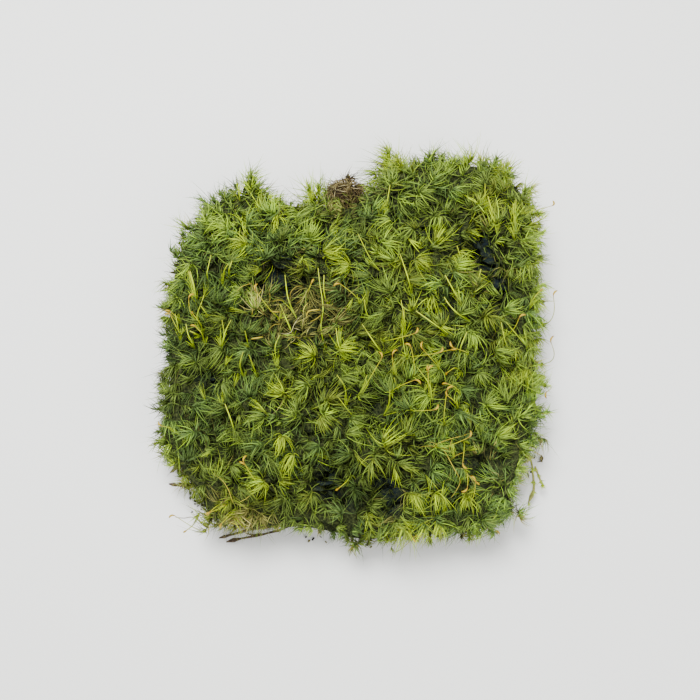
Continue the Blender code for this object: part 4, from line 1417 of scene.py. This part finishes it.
# Thatch and soil: a rough brown mat, dead leaves and fibres on its sides
thatchSettings = {
    "seed": 14,
    "rough": 0.7,
    "roughWaves": [(2.2, 6.1), (6.0, 2.4)],   # length and start of each
    "roughSink": 0.3,
    "flatBelow": 0.05,
    "top": 14.0,
    "deadShoots": 260,
    "shootsFrom": 1.0,
    "shootLow": 2.0,
    "shootOut": (-0.4, 1.6),
    "shootRise": (0.1, 1.1),
    "shootStray": 0.35,
    "worn": 0.5,              # at the top, and all of it at the bottom
    "fibres": 260,
    "fibresFrom": 0.8,
    "fibreStray": 0.45,
    "fibreLength": (6.0, 17.0),
    "fibreRadius": 0.13,
    "fibreTaper": 1.4,
    "fibreSteps": 7,
    "fibreBend": 0.25,
    "fibreOut": 0.7,
    "fibreHeights": (0.4, 17.0),
    "soil": [(0.0, (0.010, 0.007, 0.004)), (0.5, (0.040, 0.026, 0.013)),
             (1.0, (0.105, 0.072, 0.036))],
    "fibreColours": [(0.0, (0.060, 0.038, 0.018)), (0.5, (0.150, 0.100, 0.045)),
                     (1.0, (0.300, 0.220, 0.110))],
}
thatchLooks = {"size": (0.55, 0.85), "tone": (0.15, 0.6), "family": (0.6, 2.4), "leaves": 16}
thatchLeafSettings = dict(leafSettings, seed=90, bladeRings=3, leafyLength=4.0, topAngle=20.0,
                          lowAngle=85.0, bendMost=1.0, deadFamily=4.0)


def soilMaterial(name, stops, scale):
    material, sheet = newMaterial(name, stops[1][1])
    place = sheet.add("ShaderNodeTexCoord", {}, {}, "Object")
    grain = sheet.add("ShaderNodeTexNoise", {},
                      {"Vector": place, "Scale": scale, "Detail": 5.0, "Roughness": 0.65})
    clods = sheet.add("ShaderNodeTexVoronoi", {}, {"Vector": place, "Scale": scale * 0.9})
    height = grain * 0.7 + clods * 0.3
    bump = sheet.add("ShaderNodeBump", {}, {"Strength": 0.8, "Distance": 0.001, "Height": height})
    finishMaterial(sheet, sheet.ramp(sheet.clamp(grain * 2.2 - 0.6), stops), 0.95, bump, 0.2)
    return material


# The underside stays flat
def roughCopy(node, name, settings):
    shape = mergedCopy(node)
    bmesh.ops.subdivide_edges(shape, edges=shape.edges[:], cuts=1, use_grid_fill=True)
    shape.normal_update()
    fine, broad = settings["roughWaves"]
    for vert in shape.verts:
        height = wobble(vert.co, *fine) + wobble(vert.co, *broad) - settings["roughSink"]
        if vert.co.z > settings["flatBelow"]:
            vert.co += vert.normal * (settings["rough"] * height)
    return objectFrom(shape, name)


def sidePlaces(shape, count, rng, low, high):
    faces = [face for face in shape.faces
             if abs(face.normal.z) < 0.8 and low < face.calc_center_median().z < high]
    picks = rng.choices(range(len(faces)), weights=[face.calc_area() for face in faces], k=count)
    for pick in picks:
        yield placeOnFace(faces[pick], rng), faces[pick].normal.copy()


# Shares of a fibre's length, from its middle, with the thickness there
def fibreShares(settings):
    steps = settings["fibreSteps"]
    for step in range(steps + 1):
        share = step / steps - 0.5
        yield share, settings["fibreRadius"] * (1.15 - settings["fibreTaper"] * abs(share))


def makeThatch(settings):
    rng = random.Random(settings["seed"])
    top = settings["top"]
    core = roughCopy("soil_mat", "soilMat", settings)
    core.data.materials.append(soilMaterial("soil", settings["soil"], 420.0))
    finishPiece(core, "thatch_and_soil", "soil_mat")
    mat = mergedCopy("soil_mat")
    group, lines = [], []
    for place, outward in sidePlaces(mat, settings["deadShoots"], rng, settings["shootsFrom"], top):
        rise = Vector((0.0, 0.0, rng.uniform(*settings["shootRise"])))
        axis = (outward + rise + gaussVector(rng) * settings["shootStray"]).normalized()
        sweep = anySide(axis, rng)
        place = place + outward * rng.uniform(*settings["shootOut"])
        place.z = max(place.z, settings["shootLow"])
        worn = settings["worn"] + (1.0 - settings["worn"]) * (1.0 - place.z / top)
        group.append(smallShoot(place, axis, sweep, worn, thatchLooks, rng))
    leaves = growLeaves("thatchLeaves", group, thatchLeafSettings, leafMaterial)
    finishPiece(leaves, "thatch_and_soil", "soil_mat")
    for place, outward in sidePlaces(mat, settings["fibres"], rng, settings["fibresFrom"], top):
        along = outward.cross(Vector((0.0, 0.0, 1.0))) + gaussVector(rng) * settings["fibreStray"]
        along = (along - outward * along.dot(outward)).normalized()
        length = rng.uniform(*settings["fibreLength"])
        curl = gaussVector(rng)
        bend = length * settings["fibreBend"]
        tone = rng.random()
        line = []
        for share, thickness in fibreShares(settings):
            point = place + along * (share * length) + curl * (bend * (share * share - 0.1))
            point += outward * (settings["fibreOut"] - 2.0 * share * share)
            point.z = limit(point.z, *settings["fibreHeights"])
            line.append((point, thickness, tone))
        lines.append(line)
    fibres = tubesObject("thatchFibres", lines, 4,
                         rampMaterial("thatchFibre", settings["fibreColours"], 0.8))
    finishPiece(fibres, "thatch_and_soil", "soil_mat")
    mat.free()


print("stage: thatch and soil")
makeThatch(thatchSettings)


# The wad of dead thatch in the notch
wadSettings = {
    "seed": 33,
    "shoots": 40, "shootStray": 0.5, "shootShift": 0.6, "shootOut": 0.3, "worn": 0.97,
    "fibres": 110, "fibreLength": (4.0, 9.0), "fibreRadius": 0.13, "fibreTaper": 1.2,
    "fibreSteps": 6, "fibreBend": 0.5, "fibreStray": 0.5, "fibreOut": (0.2, 1.3),
    "shrink": 1.4, "halfWidth": 7.5,
    "fibreColours": [(0.0, (0.020, 0.010, 0.006)), (0.5, (0.110, 0.070, 0.026)),
                     (0.8, (0.230, 0.170, 0.060)), (1.0, (0.460, 0.380, 0.160))],
}
wadLooks = {"size": (0.5, 0.8), "tone": (0.2, 0.65), "family": 1.5, "leaves": 20}
wadLeafSettings = dict(leafSettings, seed=120, leafyLength=3.0, deadFamily=4.0)


def makeWad(settings):
    rng = random.Random(settings["seed"])
    core = mergedCopy("dead_thatch_wad")
    centre = sum((vert.co for vert in core.verts), Vector()) / len(core.verts)
    faces = core.faces[:]
    areas = [face.calc_area() for face in faces]
    group, lines = [], []
    for pick in rng.choices(range(len(faces)), weights=areas, k=settings["shoots"]):
        outward = faces[pick].normal.copy()
        place = faces[pick].calc_center_median() + gaussVector(rng) * settings["shootShift"]
        place += outward * settings["shootOut"]
        axis = (outward + gaussVector(rng) * settings["shootStray"]).normalized()
        sweep = anySide(axis, rng)
        group.append(smallShoot(place, axis, sweep, settings["worn"], wadLooks, rng))
    for pick in rng.choices(range(len(faces)), weights=areas, k=settings["fibres"]):
        outward = faces[pick].normal.copy()
        place = faces[pick].calc_center_median() + outward * rng.uniform(*settings["fibreOut"])
        along = anySide(outward, rng)
        curl = -outward + gaussVector(rng) * settings["fibreStray"]
        length = rng.uniform(*settings["fibreLength"])
        bend = length * settings["fibreBend"]
        tone = rng.random()
        lines.append([(place + along * (share * length) + curl * (bend * share * share),
                       thickness, tone) for share, thickness in fibreShares(settings)])
    for vert in core.verts:
        vert.co = centre + (vert.co - centre) * (1.0 - settings["shrink"] / settings["halfWidth"])
    piece = objectFrom(core, "wadCore")
    piece.data.materials.append(bpy.data.materials["soil"])
    finishPiece(piece, "dead_thatch", "dead_thatch_wad")
    leaves = growLeaves("wadLeaves", group, wadLeafSettings, leafMaterial)
    finishPiece(leaves, "dead_thatch", "dead_thatch_wad")
    fibres = tubesObject("wadFibres", lines, 4,
                         rampMaterial("wadFibre", settings["fibreColours"], 0.8))
    finishPiece(fibres, "dead_thatch", "dead_thatch_wad")


print("stage: wad of dead thatch")
makeWad(wadSettings)


# Loose stems at the edges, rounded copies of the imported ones
looseSettings = {
    "barkColours": [(0.0, (0.018, 0.012, 0.008)), (0.5, (0.070, 0.048, 0.030)),
                    (1.0, (0.170, 0.125, 0.078))],
    "crumbColours": [(0.0, (0.006, 0.005, 0.004)), (0.5, (0.018, 0.014, 0.011)),
                     (1.0, (0.050, 0.038, 0.028))],
    "shootSlim": 0.08,
    "rounding": 0.6,
    "bumps": (0.10, 0.9, 2.2),        # height, length and start
    "bladeColours": [(0.0, (0.100, 0.085, 0.030)), (0.5, (0.210, 0.190, 0.070)),
                     (1.0, (0.330, 0.290, 0.130))],
    "shootColours": [(0.0, (0.110, 0.105, 0.030)), (0.5, (0.270, 0.280, 0.070)),
                     (1.0, (0.460, 0.480, 0.140))],
}


def looseStem(node, slot, material, slim=0.0):
    shape = mergedCopy(node)
    for vert in shape.verts:
        vert.co -= vert.normal * slim
    bmesh.ops.subdivide_edges(shape, edges=shape.edges[:], cuts=1, use_grid_fill=True,
                              smooth=looseSettings["rounding"])
    for vert in shape.verts:
        vert.co += vert.normal * slowChange(vert.co, looseSettings["bumps"])
    words = node.split("_")
    name = words[0] + "".join(word.capitalize() for word in words[1:])
    piece = objectFrom(shape, name if len(words) > 1 else name + "Bark")
    piece.data.materials.append(material)
    finishPiece(piece, slot, node)


print("stage: loose stems")
bark = soilMaterial("deadBark", looseSettings["barkColours"], 900.0)
straw = soilMaterial("deadBlade", looseSettings["bladeColours"], 700.0)
shootSkin = soilMaterial("strayShoot", looseSettings["shootColours"], 600.0)
for node in ("twig", "dead_stem_1", "dead_stem_2"):
    looseStem(node, "dead_stems", bark)
looseStem("dead_blade", "dead_stems", straw)
for node in ("stray_shoot", "stray_shoot_fork"):
    looseStem(node, "stray_shoot", shootSkin, looseSettings["shootSlim"])


sprigSettings = dict(leafSettings, seed=140, bladeRings=3, leafyLength=2.5, topAngle=4.0,
                     lowAngle=30.0, bendLeast=0.1, bendMost=0.6, sideways=0.1, leafWidth=0.2,
                     fade=0.1, oldDead=0.0)
sprigLooks = {"size": (0.22, 0.4), "tone": (0.8, 1.0), "family": (1.0, 2.9), "leaves": 4,
              "outward": 0.25, "stray": 0.15, "depth": 0.2, "onward": 0.6, "worn": 0.3}


# Small leaves pressed to the stray shoot, all pointing away from the clump
def pressedLeaves(node, looks, rng):
    shape = mergedCopy(node)
    ends = sorted(shape.verts, key=lambda vert: vert.co.y)
    along = (ends[0].co - ends[-1].co).normalized()
    group = []
    for vert in shape.verts:
        axis = along + vert.normal * looks["outward"] + gaussVector(rng) * looks["stray"]
        axis.normalize()
        place = vert.co - vert.normal * looks["depth"] + axis * looks["onward"]
        sweep = anySide(axis, rng)
        group.append(smallShoot(place, axis, sweep, looks["worn"], looks, rng))
    shape.free()
    return group


sprigRandom = random.Random(sprigSettings["seed"])
sprigGroup = pressedLeaves("stray_shoot", sprigLooks, sprigRandom)
sprigGroup += pressedLeaves("stray_shoot_fork", sprigLooks, sprigRandom)
finishPiece(growLeaves("sprigLeaves", sprigGroup, sprigSettings, leafMaterial), "stray_shoot")

# Crumbs that fell off the mat and lie beside it: spot in the picture, length
crumbSettings = {
    "seed": 17,
    "soil": [(190, 493, 1.8), (194, 497, 2.3), (190, 498, 1.5), (196, 501, 1.9), (199, 503, 1.6),
             (203, 505, 2.0), (206, 505, 1.4), (193, 491, 1.4), (197, 497, 1.7), (200, 500, 1.5),
             (204, 501, 1.3), (195, 504, 1.0), (209, 507, 1.2), (198, 506, 0.8), (192, 512, 0.9),
             (490, 530, 1.9), (487, 527, 1.1), (179, 472, 1.6), (182, 473, 1.3), (306, 537, 1.1),
             (313, 539, 1.5), (321, 537, 0.8), (367, 545, 1.4), (427, 540, 1.1), (531, 472, 1.2),
             (188, 489, 1.2)],
    "leaf": [(185, 476, 1.6), (309, 541, 1.3), (326, 542, 1.0), (371, 547, 1.1), (497, 533, 1.2),
             (541, 458, 1.7), (542, 461, 1.2), (201, 509, 1.0)],
    "flat": 0.55,
    "narrow": 0.4,
    "bumps": 0.7,
    "bumpStart": 3.3,
    "lowest": 0.05,
}


def makeCrumbs(name, settings, kind, material, rng):
    shape = bmesh.new()
    for across, down, length in settings[kind]:
        crumb = bmesh.ops.create_icosphere(shape, subdivisions=2, radius=0.5 * length)["verts"]
        turn = rng.uniform(0.0, math.tau)
        longways = Vector((math.cos(turn), math.sin(turn), 0.0))
        height = 0.5 * length * settings["flat"]
        place = pictured(across, down, height)
        for vert in crumb:
            bump = wobble(vert.co * 2.0 + place, length, settings["bumpStart"])
            along = vert.co.dot(longways)
            spot = (vert.co - longways * (settings["narrow"] * along))
            spot *= 1.0 + settings["bumps"] * bump
            vert.co = place + Vector((spot.x, spot.y, spot.z * settings["flat"]))
            vert.co.z = max(vert.co.z, settings["lowest"])
    piece = objectFrom(shape, name)
    piece.data.materials.append(material)
    finishPiece(piece, "thatch_and_soil")


print("stage: crumbs")
crumbRandom = random.Random(crumbSettings["seed"])
soilCrumb = soilMaterial("soilCrumb", looseSettings["crumbColours"], 900.0)
makeCrumbs("soilCrumbs", crumbSettings, "soil", soilCrumb, crumbRandom)
makeCrumbs("leafCrumbs", crumbSettings, "leaf", straw, crumbRandom)
